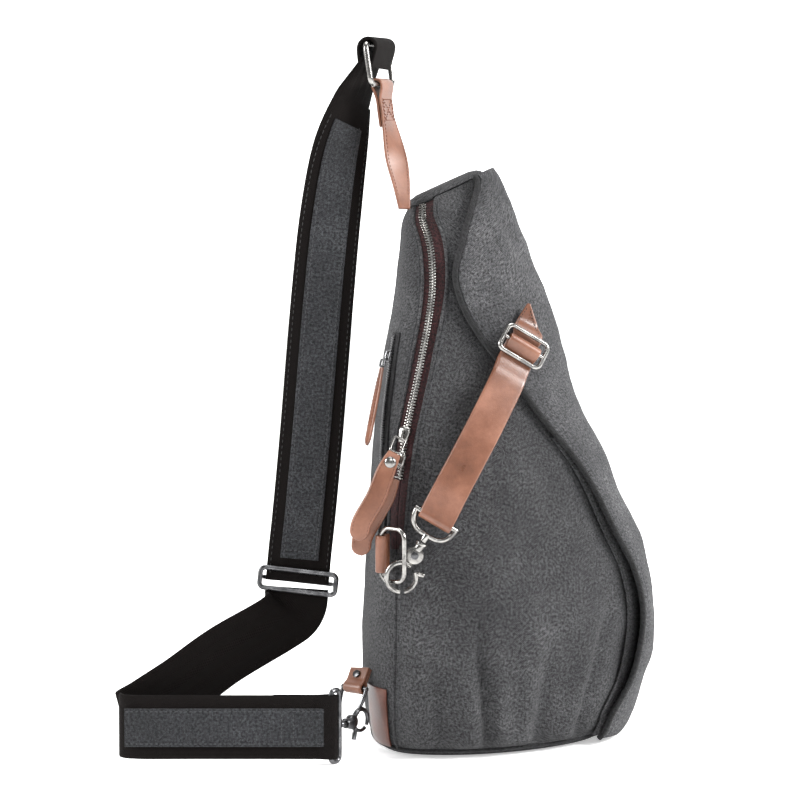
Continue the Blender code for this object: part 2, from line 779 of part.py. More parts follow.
def build_snap_hook():
    """D eye with its post, hook body with its open ring, and the spring gate that closes the ring."""
    top = hook_top()
    side = Vector((HOOK_DOWN.z, 0, -HOOK_DOWN.x)) * -1
    across = Vector((0, 1, 0))
    bow = []
    for step in range(13):
        turn = math.pi * step / 12
        reach = math.copysign(abs(math.cos(turn)) ** 0.6, math.cos(turn))
        bow.append(top + EYE_ALONG * EYE_HALF * reach + HOOK_DOWN * 13.0 * math.sin(turn))
    eye = tube("bow", bow, 1.7, 8, nickel())
    bar = rod("bar", top - EYE_ALONG * (EYE_HALF + 1.3), top + EYE_ALONG * (EYE_HALF + 1.3), 1.7, 8, nickel())
    post = rod("post", top + HOOK_DOWN * 12.0, top + HOOK_DOWN * 18.2, 2.4, 10, nickel())
    eye = fused("hook_eye", [eye, bar, post], nickel())
    set_origin([eye], top)

    collar = rod("collar", top + HOOK_DOWN * 18.7, top + HOOK_DOWN * 25.0, 3.6, 12, nickel())
    boss_middle = top + HOOK_DOWN * 29.0
    boss = rod("boss", boss_middle - across * 2.6, boss_middle + across * 2.6, 6.2, 16, nickel())
    ring_at = HOOK_RING
    up = -HOOK_DOWN
    jaw = tube("jaw", arc(ring_at, up, -side, HOOK_RADIUS, -6, 205, 16), 2.1, 8, nickel())
    body = fused("hook_body", [boss, collar, jaw], nickel())
    set_origin([body], top + HOOK_DOWN * 18.5)

    start = arc(ring_at, up, side, HOOK_RADIUS, 44, 44, 1)[0]
    gate = tube("hook_gate", arc(ring_at, up, side, HOOK_RADIUS, 40, 138, 8), 1.8, 8, nickel())
    thumb = rod("thumb", start, start + side * 6.0 + up * 1.5, 1.6, 8, nickel())
    gate = fused("hook_gate", [gate, thumb], nickel())
    set_origin([gate], start)
    face = boss_middle - across * (2.6 + GAP)
    rivet = rod("hook_rivet", face, face - across * 0.9, 2.6, 12, gunmetal())
    set_origin([rivet], top + HOOK_DOWN * 18.5)


# ---------------------------------------------------------------- side loop

def build_side_loop():
    root = near(2, SIDE_LOOP_Z)
    away = Vector((0.30, 1.0, 0)).normalized()
    face = Vector((1.0, -0.30, 0)).normalized()
    bar = SIDE_LEG
    reach = (root - bar).length - 3.5
    path = hairpin(bar, away, face, 3.2, 8, reach, reach, LEATHER / 2 + 0.25)
    ribbon("side_loop", [(p, Vector((0, 0, 1)), 26) for p in path], LEATHER, dark_leather())
    plane = Vector((0.76, -0.65, 0)).normalized()
    middle = bar + plane * SIDE_RING_WIDE / 2
    wire = rounded_loop(middle, plane, Vector((0, 0, 1)), SIDE_RING_WIDE / 2, SIDE_RING_TALL / 2, 7.0, 5)
    ring = tube("side_ring", wire, 1.7, 8, nickel(), closed=True)
    set_origin([ring], bar)


# ---------------------------------------------------------------- shoulder strap

def build_top_tab():
    """A leather tab folded round the ring's lower bar, narrowing towards the near side of the top seam."""
    face = Vector((RING_ALONG.y, -RING_ALONG.x, 0))
    fold = hairpin(RING_LOW_BAR, TAB_AWAY, face, 3.7, 10, 24, 34, LEATHER / 2 + 0.25)
    tip = [(Vector(centre), Vector(across), width) for centre, across, width in TAB_TIP]
    ribbon("top_tab", tip + [(centre, RING_ALONG, TAB_WIDTH) for centre in fold], LEATHER, leather())


def build_top_ring():
    middle = (RING_LOW_BAR + RING_TOP_BAR) / 2
    tall = RING_TOP_BAR - RING_LOW_BAR
    wire = rounded_loop(middle, RING_ALONG, tall.normalized(), 25.5, tall.length / 2, 5.0)
    ring = tube("top_ring", wire, 2.0, 8, nickel(), closed=True)
    set_origin([ring], RING_LOW_BAR)


def build_shoulder_strap():
    rows = [(*centre, *across) for centre, across in UPPER_ROUTE]
    drawn = smooth_path(rows, 6)
    stations = [(Vector(row[:3]), Vector(row[3:]), WEBBING) for row in drawn]
    slack = RING_TOP_BAR - Vector((0, 0, 2.6))
    away, face = Vector((-0.1, 0, -1)).normalized(), Vector((-1, 0.32, 0)).normalized()
    fold = hairpin(slack, away, face, TOP_TURN, 16, 14, 15, 4.0)
    loop = [(p, RING_ALONG, WEBBING) for p in fold]
    ribbon("shoulder_webbing", stations + loop, WEB_THICK, webbing_fabric())
    strip = []
    for centre, across, _width in stations[5:-8]:
        strip.append((centre, across))
    lifted = []
    for i, (centre, across) in enumerate(strip):
        ahead, behind = strip[min(i + 1, len(strip) - 1)][0], strip[max(i - 1, 0)][0]
        along = (ahead - behind).normalized()
        face = along.cross(across).normalized()
        if face.y > 0:
            face = -face
        lifted.append((centre + face * (WEB_THICK / 2 + GAP + 0.5 + STRIP_THICK / 2), across, STRIP))
    ribbon("shoulder_strip", lifted, STRIP_THICK, canvas_light())


def build_lower_webbing():
    rows = [(*centre, *across) for centre, across in LOWER_ROUTE]
    drawn = smooth_path(rows, 4)
    stations = [(Vector(row[:3]), Vector(row[3:]), WEBBING) for row in drawn]
    loop = hairpin(END_BAR, Vector((-1, 0, 0)), Vector((0, -1, 0)), 3.6, 10, 14, 40, WEB_THICK / 2 + 0.2)
    stations += [(p, Vector((0, 0, -1)), WEBBING) for p in loop]
    ribbon("lower_webbing", stations, WEB_THICK, webbing_fabric())
    face_y = END_BAR.y - 0.2 - WEB_THICK - GAP - 0.6
    front = [Vector((x, face_y, END_BAR.z)) for x in (-176, -140, -100, -60, -50)]
    ribbon("lower_strip", [(p, Vector((0, 0, -1)), STRIP) for p in front], STRIP_THICK, canvas_light())


def build_tri_glide():
    at, along, across = GLIDE_AT, GLIDE_ALONG, GLIDE_ACROSS
    face = across.cross(along).normalized()
    wire = rounded_loop(at + face * 3.6, across, along, 27.0, 7.2, 3.5)
    frame = tube("ring", wire, 1.7, 8, gunmetal(), closed=True)
    drawn = []
    for side in (1, -1):
        steps = ((26.5, 3.0), (26.0, -2.0), (23.5, -3.4))[::side]
        drawn += [at + across * side * wide + face * lift for wide, lift in steps]
    bar = tube("bar", drawn, 1.5, 8, gunmetal())
    glide = fused("tri_glide", [frame, bar], gunmetal())
    set_origin([glide], at)


# ---------------------------------------------------------------- lower corner hardware

def build_lower_hook():
    heading = LOWER_HEADING
    side = Vector((-heading.y, heading.x, 0))
    up = Vector((0, 0, 1))
    far_bar = END_BAR + heading * 9.0
    wire = rounded_loop((END_BAR + far_bar) / 2, heading, up, 4.5, END_RING_TALL / 2, 3.5)
    ring = tube("ring", wire, 1.8, 8, gunmetal(), closed=True)
    post = rod("post", far_bar + heading * 1.0, far_bar + heading * 6.0, 2.2, 10, gunmetal())
    end_ring = fused("end_ring", [ring, post], gunmetal())
    set_origin([end_ring], END_BAR)

    neck = far_bar + heading * 6.5
    collar = rod("collar", neck, neck + heading * 5.0, 3.2, 10, gunmetal())
    pin = neck + heading * 7.0
    boss = rod("boss", pin - side * 2.2, pin + side * 2.2, 5.0, 14, gunmetal())
    ring_at = neck + heading * 17.0
    jaw = tube("jaw", arc(ring_at, -heading, up, 7.6, -12, 215, 14), 1.7, 8, gunmetal())
    body = fused("lower_hook_body", [boss, collar, jaw], gunmetal())
    set_origin([body], neck)

    gate_arc = arc(ring_at, -heading, -up, 7.6, 42, 128, 7)
    gate = tube("gate", gate_arc, 1.4, 8, gunmetal())
    lever = rod("lever", gate_arc[0], gate_arc[0] - up * 8.0 - heading * 2.0, 2.0, 8, gunmetal())
    gate = fused("lower_hook_gate", [gate, lever], gunmetal())
    set_origin([gate], gate_arc[0])
    return ring_at


def build_corner(ring_at):
    """The D-ring, the leather loop it hangs in, the loop's rivet and the leather patch behind them."""
    bar = CORNER_BAR
    along = CORNER_ALONG
    drop = (ring_at - bar)
    down = (drop - along * drop.dot(along)).normalized()
    deep = drop.length + 2.0
    turns = [math.pi * k / 12 for k in range(13)]
    bow = [bar + along * 11.0 * math.cos(a) + down * deep * math.sin(a) for a in turns]
    bow = tube("bow", bow, 1.6, 8, gunmetal())
    straight = rod("straight", bar - along * 12.0, bar + along * 12.0, 1.6, 8, gunmetal())
    ring = fused("d_ring", [bow, straight], gunmetal())
    set_origin([ring], bar)
    away = CORNER_AWAY
    face = away.cross(along).normalized()
    path = hairpin(bar, away, face, 3.1, 6, 15, 15, LEATHER / 2 + 0.25)
    ribbon("lower_loop", [(p, along, 17) for p in path], LEATHER, leather())
    outward = face if face.y < 0 else -face
    rivet = bar + away * 9.5 + outward * (LEATHER + 0.25 + GAP + 0.1)
    rod("lower_loop_rivet", rivet, rivet + outward * 1.2, 2.8, 12, gunmetal())
    patch("corner_patch", 0.62, 2.1, lambda v: 0.30, lambda v: 0.56, GAP, GAP + 1.8, 6, 5, dark_leather())


def centre_on_floor():
    """Moves the whole bag so that its box's bottom centre is the origin."""
    bpy.context.view_layer.update()
    corners = [piece.matrix_world @ Vector(c) for piece in bpy.data.objects for c in piece.bound_box]
    middle = [(min(c[axis] for c in corners) + max(c[axis] for c in corners)) / 2 for axis in (0, 1)]
    for piece in bpy.data.objects:
        piece.location.x -= middle[0]
        piece.location.y -= middle[1]
    return middle


def main():
    build_walls()
    build_base_and_top()
    build_inside()
    build_front_pocket()
    build_main_zip()
    build_zip_movers()
    build_back_zip()
    flap = build_flap()
    flap.append(build_flap_patch())
    set_origin(flap, Vector(FLAP_HINGE))
    build_flap_strap()
    build_snap_hook()
    build_side_loop()
    build_top_tab()
    build_top_ring()
    build_shoulder_strap()
    build_lower_webbing()
    build_tri_glide()
    build_corner(build_lower_hook())
    return centre_on_floor()


SHIFT = main()
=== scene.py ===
import math

import bpy
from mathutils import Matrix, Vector, noise


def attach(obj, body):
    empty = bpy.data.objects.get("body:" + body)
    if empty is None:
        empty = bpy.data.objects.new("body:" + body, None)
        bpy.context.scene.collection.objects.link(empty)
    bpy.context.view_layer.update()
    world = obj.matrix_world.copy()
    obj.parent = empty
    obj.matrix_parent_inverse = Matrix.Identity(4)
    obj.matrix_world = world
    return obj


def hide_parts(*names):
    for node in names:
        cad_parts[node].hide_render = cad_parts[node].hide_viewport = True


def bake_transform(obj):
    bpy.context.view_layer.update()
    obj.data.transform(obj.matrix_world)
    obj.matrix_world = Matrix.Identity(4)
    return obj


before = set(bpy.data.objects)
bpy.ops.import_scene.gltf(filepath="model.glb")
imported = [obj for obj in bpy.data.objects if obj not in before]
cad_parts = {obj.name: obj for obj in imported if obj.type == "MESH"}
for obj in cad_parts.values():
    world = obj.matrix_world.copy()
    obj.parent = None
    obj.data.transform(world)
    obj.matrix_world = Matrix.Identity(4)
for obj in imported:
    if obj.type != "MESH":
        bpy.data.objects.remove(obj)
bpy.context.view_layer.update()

MM = 0.001
GAP = 0.4
# The CAD's drawing axes start this far from the frame's origin; every shape below is drawn on them, in mm.
DRAWN_AT = Vector((1.8756, -1.4848, 0))

LEVELS = (
    ((-10, 3), (154, 3), 84),
    ((-15, 14), (166, 14), 95),
    ((-18, 45), (175, 48), 100),
    ((-18, 85), (180, 92), 101),
    ((-16, 130), (174, 134), 98),
    ((-12, 190), (152, 194), 89),
    ((-9, 232), (131, 240), 80),
    ((-3, 275), (118, 285), 70),
    ((4, 316), (104, 330), 58),
    ((8, 350), (89, 368), 45),
    ((10, 372), (77, 396), 33),
    ((13, 384), (68, 409), 24),
)
ROWS = [back + front + (half,) for back, front, half in LEVELS]
TOP = len(LEVELS) - 1
WIDEST = 0.30
BACK_ROUND = (0.86, 0.70)
FRONT_ROUND = (0.42, 0.46)
BASE_LIFT = 0.45
SEAM = ((4, 20), (4, 60), (5, 118), (6, 170), (11, 220), (17, 250), (22, 273), (28, 305), (31, 335),
        (29, 360), (24, 378))
ZIP_LOW, ZIP_HIGH = 5.1, 10.75
TAPE_HALF = 6.5
FLAP_EDGE = ((154, 24), (166, 50), (171, 75), (172, 100), (166, 128), (155, 152), (138, 190), (117, 222),
             (97, 250), (77, 277), (61, 300), (52, 318), (48, 338), (53, 360), (58, 379), (63, 402))
FLAP_STAND = (3.9, 6.2)
FLAP_SLACK = 8.0
FLAP_SLACK_LEVEL = 3.0
FLAP_SEAM_X = 62.0
FLAP_LEVELS = (0.75, 10.85)
WELT = 2.1
POCKET_FACE = (1.3, 3.0)
POCKET_LEVELS = (0.7, 5.6)
WEBBING = 45.0
WEB_THICK = 2.4
STRIP = 27.0
STRIP_THICK = 1.0
LEATHER = 2.0
FLAP_STRAP = 25.0
STRAP_TURN = 3.2
STRAP_SINK = 4.2
BUCKLE_AT = (85, 284)
BUCKLE_LIFT = 11.4
BUCKLE_BAR = Vector((0.80, 0.15, -0.58))
MAIN_SLIDER = 5.85
TAPE_END = 4.3              # level where the two cloth edges meet below the zip
TRIANGLE_LEAN = 0.38        # sideways shift of the leather triangle for each mm along it
FOLD_DEPTH = 1.7            # how much deeper the shell's folds are than FOLDS states
SECOND_SLIDER = 5.42
MAIN_PULL_STEPS = ((-4, -6, -10), (-10, -10, -22), (-17, -12, -40), (-27, -13, -58), (-28, -13, -70))
SECOND_PULL_STEPS = ((-2, -1, -10), (-7, -1.5, -22), (-15, -2, -36), (-23.5, -2.5, -52), (-24, -2.5, -64))
PULL_ACROSS = Vector((0.93, 0, -0.36))
BACK_ZIP_T = 0.44
BACK_ZIP_LEVELS = (4.2, 7.5)
BACK_SLIDER = 7.1
HOOK_RING = Vector((9, -106, 131))
HOOK_DOWN = Vector((-0.51, 0, -0.86)).normalized()
EYE_ALONG = Vector((0.86, 0, -0.51)).normalized()
HOOK_RADIUS = 10.2
EYE_HALF = 15.5
SIDE_LOOP_Z = 146
SIDE_LEG = Vector((-5, -97, 146))
SIDE_RING_WIDE = 21.0
SIDE_RING_TALL = 37.0
RING_LOW_BAR = Vector((-5, -2, 472))
RING_TOP_BAR = Vector((-9, -1, 501))
RING_ALONG = Vector((0.30, 0.95, 0)).normalized()
TOP_TURN = 6.4
TAB_WIDTH = 27.0
TAB_AWAY = Vector((0.14, -0.06, -1)).normalized()
TAB_TIP = (
    ((11, -28, 384), (0.93, 0.35, 0), 9),
    ((9, -20, 400), (0.86, 0.5, 0), 14),
    ((6, -12, 416), (0.75, 0.66, 0), 20),
    ((3, -7, 432), (0.5, 0.86, 0), 25),
)
UPPER_ROUTE = (
    ((-65, -54.5, 120), (0.98, 0.05, -0.15)),
    ((-63, -52.5, 142), (0.99, 0.02, -0.10)),
    ((-60, -50, 170), (0.99, 0.00, -0.06)),
    ((-55, -42, 225), (0.99, 0.00, -0.04)),
    ((-51, -33, 276), (0.99, 0.05, -0.03)),
    ((-47, -26, 325), (0.98, 0.12, -0.04)),
    ((-42, -19, 376), (0.95, 0.25, -0.05)),
    ((-35, -12, 424), (0.85, 0.50, -0.05)),
    ((-25, -5, 462), (0.55, 0.83, -0.02)),
)
LOWER_ROUTE = (
    ((-65.4, -55, 116), (0.98, 0.05, -0.15)),
    ((-67, -56.5, 103), (0.96, 0.10, -0.20)),
    ((-78, -62, 92), (0.72, 0.35, -0.60)),
    ((-116, -75, 71), (0.38, 0.20, -0.90)),
    ((-146, -84, 50), (0.18, 0.08, -0.98)),
    ((-170, -90, 35), (0.06, 0.02, -1.00)),
    ((-185, -97, 28), (0.00, 0.00, -1.00)),
    ((-185, -107, 27), (0.00, 0.00, -1.00)),
    ((-172, -112, 27), (0.00, 0.00, -1.00)),
    ((-140, -112, 27), (0.00, 0.00, -1.00)),
    ((-100, -112, 27), (0.00, 0.00, -1.00)),
)
GLIDE_AT = Vector((-64.6, -54.7, 121))
GLIDE_ALONG = Vector((0.11, 0.10, 0.99)).normalized()
GLIDE_ACROSS = Vector((0.98, 0.05, -0.12)).normalized()
END_BAR = Vector((-40, -111, 27))
END_RING_TALL = 50.0
LOWER_HEADING = Vector((0.62, 0.78, 0)).normalized()
CORNER_BAR = Vector((-24, -70, 47))
CORNER_ALONG = Vector((0.75, -0.66, 0)).normalized()
CORNER_AWAY = Vector((0.30, 0.50, 0.80)).normalized()

# Soft folds of the near side: foot (x, z), head (x, z), half width, height (below 0 for a crease).
FOLDS = (
    ((71, 4), (62, 96), 3.6, -3.0),
    ((80, 4), (73, 90), 7.0, 2.4),
    ((58, 4), (50, 84), 8.0, 1.8),
    ((134, 6), (158, 104), 3.8, -3.4),
    ((124, 6), (146, 96), 8.0, 2.6),
    ((104, 4), (114, 78), 4.2, -2.2),
    ((94, 4), (101, 84), 7.0, 1.6),
    ((38, 4), (30, 66), 5.0, -1.6),
    ((22, 6), (18, 88), 9.0, 1.6),
    ((100, 216), (128, 168), 9.0, -1.4),
    ((40, 250), (62, 196), 10.0, 1.3),
    ((60, 130), (110, 108), 12.0, 1.3),
    ((92, 150), (140, 136), 9.0, -1.2),
)
# Folds of the flap, by the same measure.
FLAP_FOLDS = (
    ((64, 392), (92, 330), 5.0, 1.6),
    ((72, 384), (104, 318), 5.0, -1.6),
    ((60, 345), (96, 300), 8.0, 1.4),
    ((110, 268), (150, 180), 12.0, 1.6),
    ((176, 60), (160, 140), 7.0, 1.6),
    ((184, 52), (176, 128), 5.0, -1.6),
    ((120, 240), (170, 150), 6.0, -1.2),
)


# ---------------------------------------------------------------- the bag's surface

def catmull(rows, at):
    last = len(rows) - 1
    at = min(max(at, -0.4), last + 0.4)
    i = min(max(int(math.floor(at)), 0), last - 1)
    f = at - i
    before, here, there, after = (rows[min(max(k, 0), last)] for k in (i - 1, i, i + 1, i + 2))
    out = []
    for a, b, c, d in zip(before, here, there, after):
        square, cube = 2 * a - 5 * b + 4 * c - d, 3 * b - a - 3 * c + d
        out.append(0.5 * (2 * b + (c - a) * f + square * f * f + cube * f ** 3))
    return out


def level(v):
    bx, bz, fx, fz, half = catmull(ROWS, v)
    return Vector((bx, 0, bz)), Vector((fx, 0, fz)), half


def bezier(a, b, c, d, f):
    g = 1 - f
    return a * g ** 3 + 3 * b * g * g * f + 3 * c * g * f * f + d * f ** 3


def outline(t):
    if t <= 1:
        return (bezier(0, 0, WIDEST * (1 - BACK_ROUND[1]), WIDEST, t), bezier(0, BACK_ROUND[0], 1, 1, t))
    f = t - 1
    rest = 1 - WIDEST
    return (WIDEST + bezier(0, rest * FRONT_ROUND[0], rest, rest, f), bezier(1, 1, FRONT_ROUND[1], 0, f))


def surface(v, t):
    back, front, half = level(v)
    t = t % 4
    side = -1 if t <= 2 else 1
    share, width = outline(t if t <= 2 else 4 - t)
    return back.lerp(front, share) + Vector((0, side * width * half, 0))


def normal(v, t):
    up = surface(v + 0.05, t) - surface(v - 0.05, t)
    along = surface(v, t + 0.02) - surface(v, t - 0.02)
    return along.cross(up).normalized()


def skin(v, t, lift=0.0):
    return surface(v, t) + normal(v, t) * lift


def shifted(v, t, distance):
    speed = (surface(v, t + 0.01) - surface(v, t - 0.01)).length / 0.02
    return t + distance / speed


def share_t(share):
    low, high = 0.0, 2.0
    for _ in range(36):
        t = (low + high) / 2
        if outline(t)[0] < share:
            low = t
        else:
            high = t
    return t


def locate(x, z):
    low, high = -0.3, TOP + 0.3
    for _ in range(40):
        v = (low + high) / 2
        back, front, _half = level(v)
        height = back.z + (front.z - back.z) * (x - back.x) / (front.x - back.x)
        if height < z:
            low = v
        else:
            high = v
    back, front, _half = level(v)
    return v, share_t(min(max((x - back.x) / (front.x - back.x), 0), 1))


def track(points):
    known = [locate(x, z) for x, z in points]

    def at(v):
        if v <= known[0][0]:
            return known[0][1]
        for i in range(len(known) - 1):
            (v0, _t0), (v1, _t1) = known[i], known[i + 1]
            if v <= v1:
                f = (v - v0) / max(v1 - v0, 1e-6)
                rows = [(known[min(max(k, 0), len(known) - 1)][1],) for k in (i - 1, i, i + 1, i + 2)]
                return catmull(rows, 1 + f)[0]
        return known[-1][1]

    return at


seam_t = track(SEAM)
flap_t = track(FLAP_EDGE)


def eased(f):
    f = min(max(f, 0), 1)
    return f * f * (3 - 2 * f)


def zip_open(v):
    return GAP / 2 + (TAPE_HALF + GAP) * eased((v - (ZIP_LOW - 0.85)) / 0.3)


def seam_back(v):
    return shifted(v, seam_t(v), -zip_open(v))


def seam_front(v):
    return shifted(v, seam_t(v), zip_open(v))


def far_seam(v):
    return -seam_t(v)


def flap_far(v):
    back, front, _half = level(v)
    return 4 - share_t(min(max((FLAP_SEAM_X - back.x) / (front.x - back.x), 0), 1))


def flap_lift(face):
    def at(v):
        return face + FLAP_SLACK * eased(1 - abs(v - FLAP_SLACK_LEVEL) / 3.2)
    return at


def near(x, z, lift=0.0):
    return skin(*locate(x, z), lift)


def inset(v, t, depth):
    back, front, half = level(v)
    middle = (back + front) / 2
    reach = (front - back).length / 2
    out = surface(v, t) - middle
    shrink = (reach - depth) / reach
    return middle + Vector((out.x * shrink, out.y * (half - depth) / half, out.z * shrink))


def level_ring(v, depth, count, height=None, lift=0.0):
    back, front, _half = level(v)
    slope = (front - back).normalized()
    up = Vector((-slope.z, 0, slope.x)) * lift
    ring = [inset(v, 4 * k / count, depth) + up for k in range(count)]
    if height is not None:
        ring = [Vector((p.x, p.y, height)) for p in ring]
    return ring


def folds_at(p, folds):
    """Height of the cloth's folds at a point of the near side."""
    if p.y > 10:
        return 0.0
    total = 0.0
    for (x0, z0), (x1, z1), wide, height in folds:
        dx, dz = x1 - x0, z1 - z0
        run = dx * dx + dz * dz
        f = ((p.x - x0) * dx + (p.z - z0) * dz) / run
        if not -0.3 < f < 1.3:
            continue
        away = abs((p.x - x0) * dz - (p.z - z0) * dx) / math.sqrt(run)
        ends = eased((f + 0.3) / 0.4) * eased((1.25 - f) / 0.8)
        total += height * ends * math.exp(-(away / wide) ** 2)
    return total


def softness(p, size, height):
    """Slow irregular swelling of cloth."""
    return height * (noise.noise(p / size) + 0.45 * noise.noise(p / (size * 0.42) + Vector((7, 3, 1))))


# ---------------------------------------------------------------- mesh helpers

def to_frame(p):
    return (p - DRAWN_AT) * MM


def piece(name, points, faces, look, uvs=None, sharp=42.0):
    """A piece from drawn points; uvs give a length in mm round and along for each face corner."""
    mesh = bpy.data.meshes.new(name)
    mesh.from_pydata([to_frame(p) for p in points], [], faces)
    if uvs:
        layer = mesh.uv_layers.new(name="lengths")
        flat = []
        for row in uvs:
            for u, w in row:
                flat += (u, w)
        layer.data.foreach_set("uv", flat)
    mesh.materials.append(look)
    mesh.validate()
    mesh.update()
    mesh.shade_smooth()
    mesh.set_sharp_from_angle(angle=math.radians(sharp))
    made = bpy.data.objects.new(name, mesh)
    bpy.context.scene.collection.objects.link(made)
    return made


class Shape:
    """Faces of one piece, gathered from several simple shapes."""

    def __init__(self):
        self.points, self.faces, self.uvs = [], [], []

    def loft(self, rings, closed=False):
        count, base = len(rings[0]), len(self.points)
        around, along = [], [[0.0] * (count + 1)]
        for ring in rings:
            run = [0.0]
            for k in range(count):
                run.append(run[-1] + (ring[(k + 1) % count] - ring[k]).length)
            around.append(run)
        for i in range(len(rings) if closed else len(rings) - 1):
            one, two = rings[i], rings[(i + 1) % len(rings)]
            steps = [(two[k % count] - one[k % count]).length for k in range(count + 1)]
            along.append([run + step for run, step in zip(along[-1], steps)])
        for ring in rings:
            self.points += ring
        for i in range(len(rings) if closed else len(rings) - 1):
            j = (i + 1) % len(rings)
            for k in range(count):
                n = (k + 1) % count
                self.faces.append((base + i * count + k, base + i * count + n,
                                   base + j * count + n, base + j * count + k))
                self.uvs.append(((around[i][k], along[i][k]), (around[i][k + 1], along[i][k + 1]),
                                 (around[j][k + 1], along[i + 1][k + 1]), (around[j][k], along[i + 1][k])))
        if not closed:
            for i in (0, len(rings) - 1):
                order = range(count)[::-1] if i == 0 else range(count)
                self.faces.append(tuple(base + i * count + k for k in order))
                self.uvs.append(tuple((around[i][k], along[i][k]) for k in order))
        return self

    def tube(self, centres, radius, sides=16, closed=False, flat=1.0):
        rings = []
        count = len(centres)
        side = None
        for i, centre in enumerate(centres):
            ahead = centres[(i + 1) % count if closed else min(i + 1, count - 1)]
            behind = centres[(i - 1) % count if closed else max(i - 1, 0)]
            along = (ahead - behind).normalized()
            if side is None:
                side = along.orthogonal().normalized()
            side = (side - along * side.dot(along)).normalized()
            other = along.cross(side)
            size = radius(i / (count - 1)) if callable(radius) else radius
            rings.append([centre + (side * math.cos(a) + other * math.sin(a) * flat) * size
                          for a in (2 * math.pi * k / sides for k in range(sides))])
        return self.loft(rings, closed)

    def rod(self, start, end, radius, sides=20, soft=0.35):
        """A turned pin with softly broken ends."""
        run = (end - start)
        soft = min(soft, run.length * 0.3, radius * 0.5)
        step = run.normalized() * soft
        sizes = (radius - soft, radius - soft * 0.3, radius, radius, radius - soft * 0.3, radius - soft)
        places = (start, start + step * 0.3, start + step, end - step, end - step * 0.3, end)
        side = run.orthogonal().normalized()
        other = run.normalized().cross(side)
        rings = []
        for place, size in zip(places, sizes):
            rings.append([place + (side * math.cos(a) + other * math.sin(a)) * size
                          for a in (2 * math.pi * k / sides for k in range(sides))])
        return self.loft(rings)

    def ribbon(self, stations, thick, closed=False, edge=None, crown=0.0):
        """A strap with rounded edges. Each station is (centre, width direction, width)."""
        edge = thick * 0.5 if edge is None else edge
        rings = []
        count = len(stations)
        for i, (centre, across, width) in enumerate(stations):
            ahead = stations[(i + 1) % count if closed else min(i + 1, count - 1)][0]
            behind = stations[(i - 1) % count if closed else max(i - 1, 0)][0]
            along = (ahead - behind).normalized()
            across = (across - along * across.dot(along)).normalized()
            face = across.cross(along).normalized()
            half, deep = width / 2, thick / 2
            ring = []
            for sign in (1, -1):
                for share in (1, 0.9, 0.5, 0, -0.5, -0.9, -1):
                    place = share * (half - edge) * sign
                    rise = deep + crown * (1 - share * share)
                    ring.append(centre + across * place + face * rise * sign)
                ring.append(centre - across * (half - edge * 0.29) * sign + face * deep * 0.71 * sign)
                ring.append(centre - across * half * sign)
                ring.append(centre - across * (half - edge * 0.29) * sign - face * deep * 0.71 * sign)
            rings.append(ring)
        return self.loft(rings, closed)

    def make(self, name, look, sharp=42.0):
        return piece(name, self.points, self.faces, look, self.uvs, sharp)


def sheet(name, low, high, start, end, inner, outer, rows, columns, look, shape=None, rounded=0.8):
    """A curved cloth on the bag between two levels and two tracks, with its edges turned."""
    rings = []
    for i in range(rows + 1):
        v = low + (high - low) * i / rows
        t0, t1 = start(v), end(v)
        low_lift = inner(v) if callable(inner) else inner
        top_lift = outer(v) if callable(outer) else outer
        upper, under = [], []
        for k in range(columns + 1):
            t = t0 + (t1 - t0) * k / columns
            place, out = surface(v, t), normal(v, t)
            more = shape(v, t, place) if shape else 0.0
            edge = 1 - min(k, columns - k) / 1.0
            drop = (top_lift - low_lift) * 0.3 * rounded if edge > 0 else 0
            upper.append(place + out * (top_lift + more - drop))
            under.append(place + out * (low_lift + more + drop))
        rings.append(upper + under[::-1])
    return Shape().loft(rings).make(name, look, 60)


def arc(centre, one, two, radius, start, end, steps):
    angles = (math.radians(start + (end - start) * i / steps) for i in range(steps + 1))
    return [centre + (one * math.cos(a) + two * math.sin(a)) * radius for a in angles]


def rounded_loop(centre, one, two, half_one, half_two, corner, steps=8):
    points = []
    for quarter, (su, sw) in enumerate(((1, 1), (-1, 1), (-1, -1), (1, -1))):
        middle = centre + one * su * (half_one - corner) + two * sw * (half_two - corner)
        points += arc(middle, one, two, corner, 90 * quarter, 90 * quarter + 90, steps)
    return points


def hairpin(bar, away, face, radius, lead, front, back, flat, steps=10):
    layers = []
    for side, length in ((1, front), (-1, back)):
        run = []
        for k in range(steps + 1):
            reach = length * k / steps
            run.append(bar + away * reach + face * side * (radius + (flat - radius) * eased(reach / lead)))
        layers.append(run)
    turn = arc(bar, face, -away, radius, 0, 180, 14)[1:-1]
    return list(reversed(layers[0])) + turn + layers[1]


def smooth_path(points, steps):
    total = (len(points) - 1) * steps
    return [catmull(points, i / steps) for i in range(total + 1)]


def refined(rows, steps=3):
    """Stations (centre, across, width) on a smooth curve through the given ones."""
    flat = [(*centre, *across, width) for centre, across, width in rows]
    return [(Vector(r[:3]), Vector(r[3:6]), r[6]) for r in smooth_path(flat, steps)]


def even(points, pitch):
    """Points at equal spacing along a line of points, each with its direction."""
    out, need, run = [], pitch / 2, 0.0
    for a, b in zip(points, points[1:]):
        length = (b - a).length
        while length > 0 and need <= run + length:
            out.append((a.lerp(b, (need - run) / length), (b - a).normalized()))
            need += pitch
        run += length
    return out


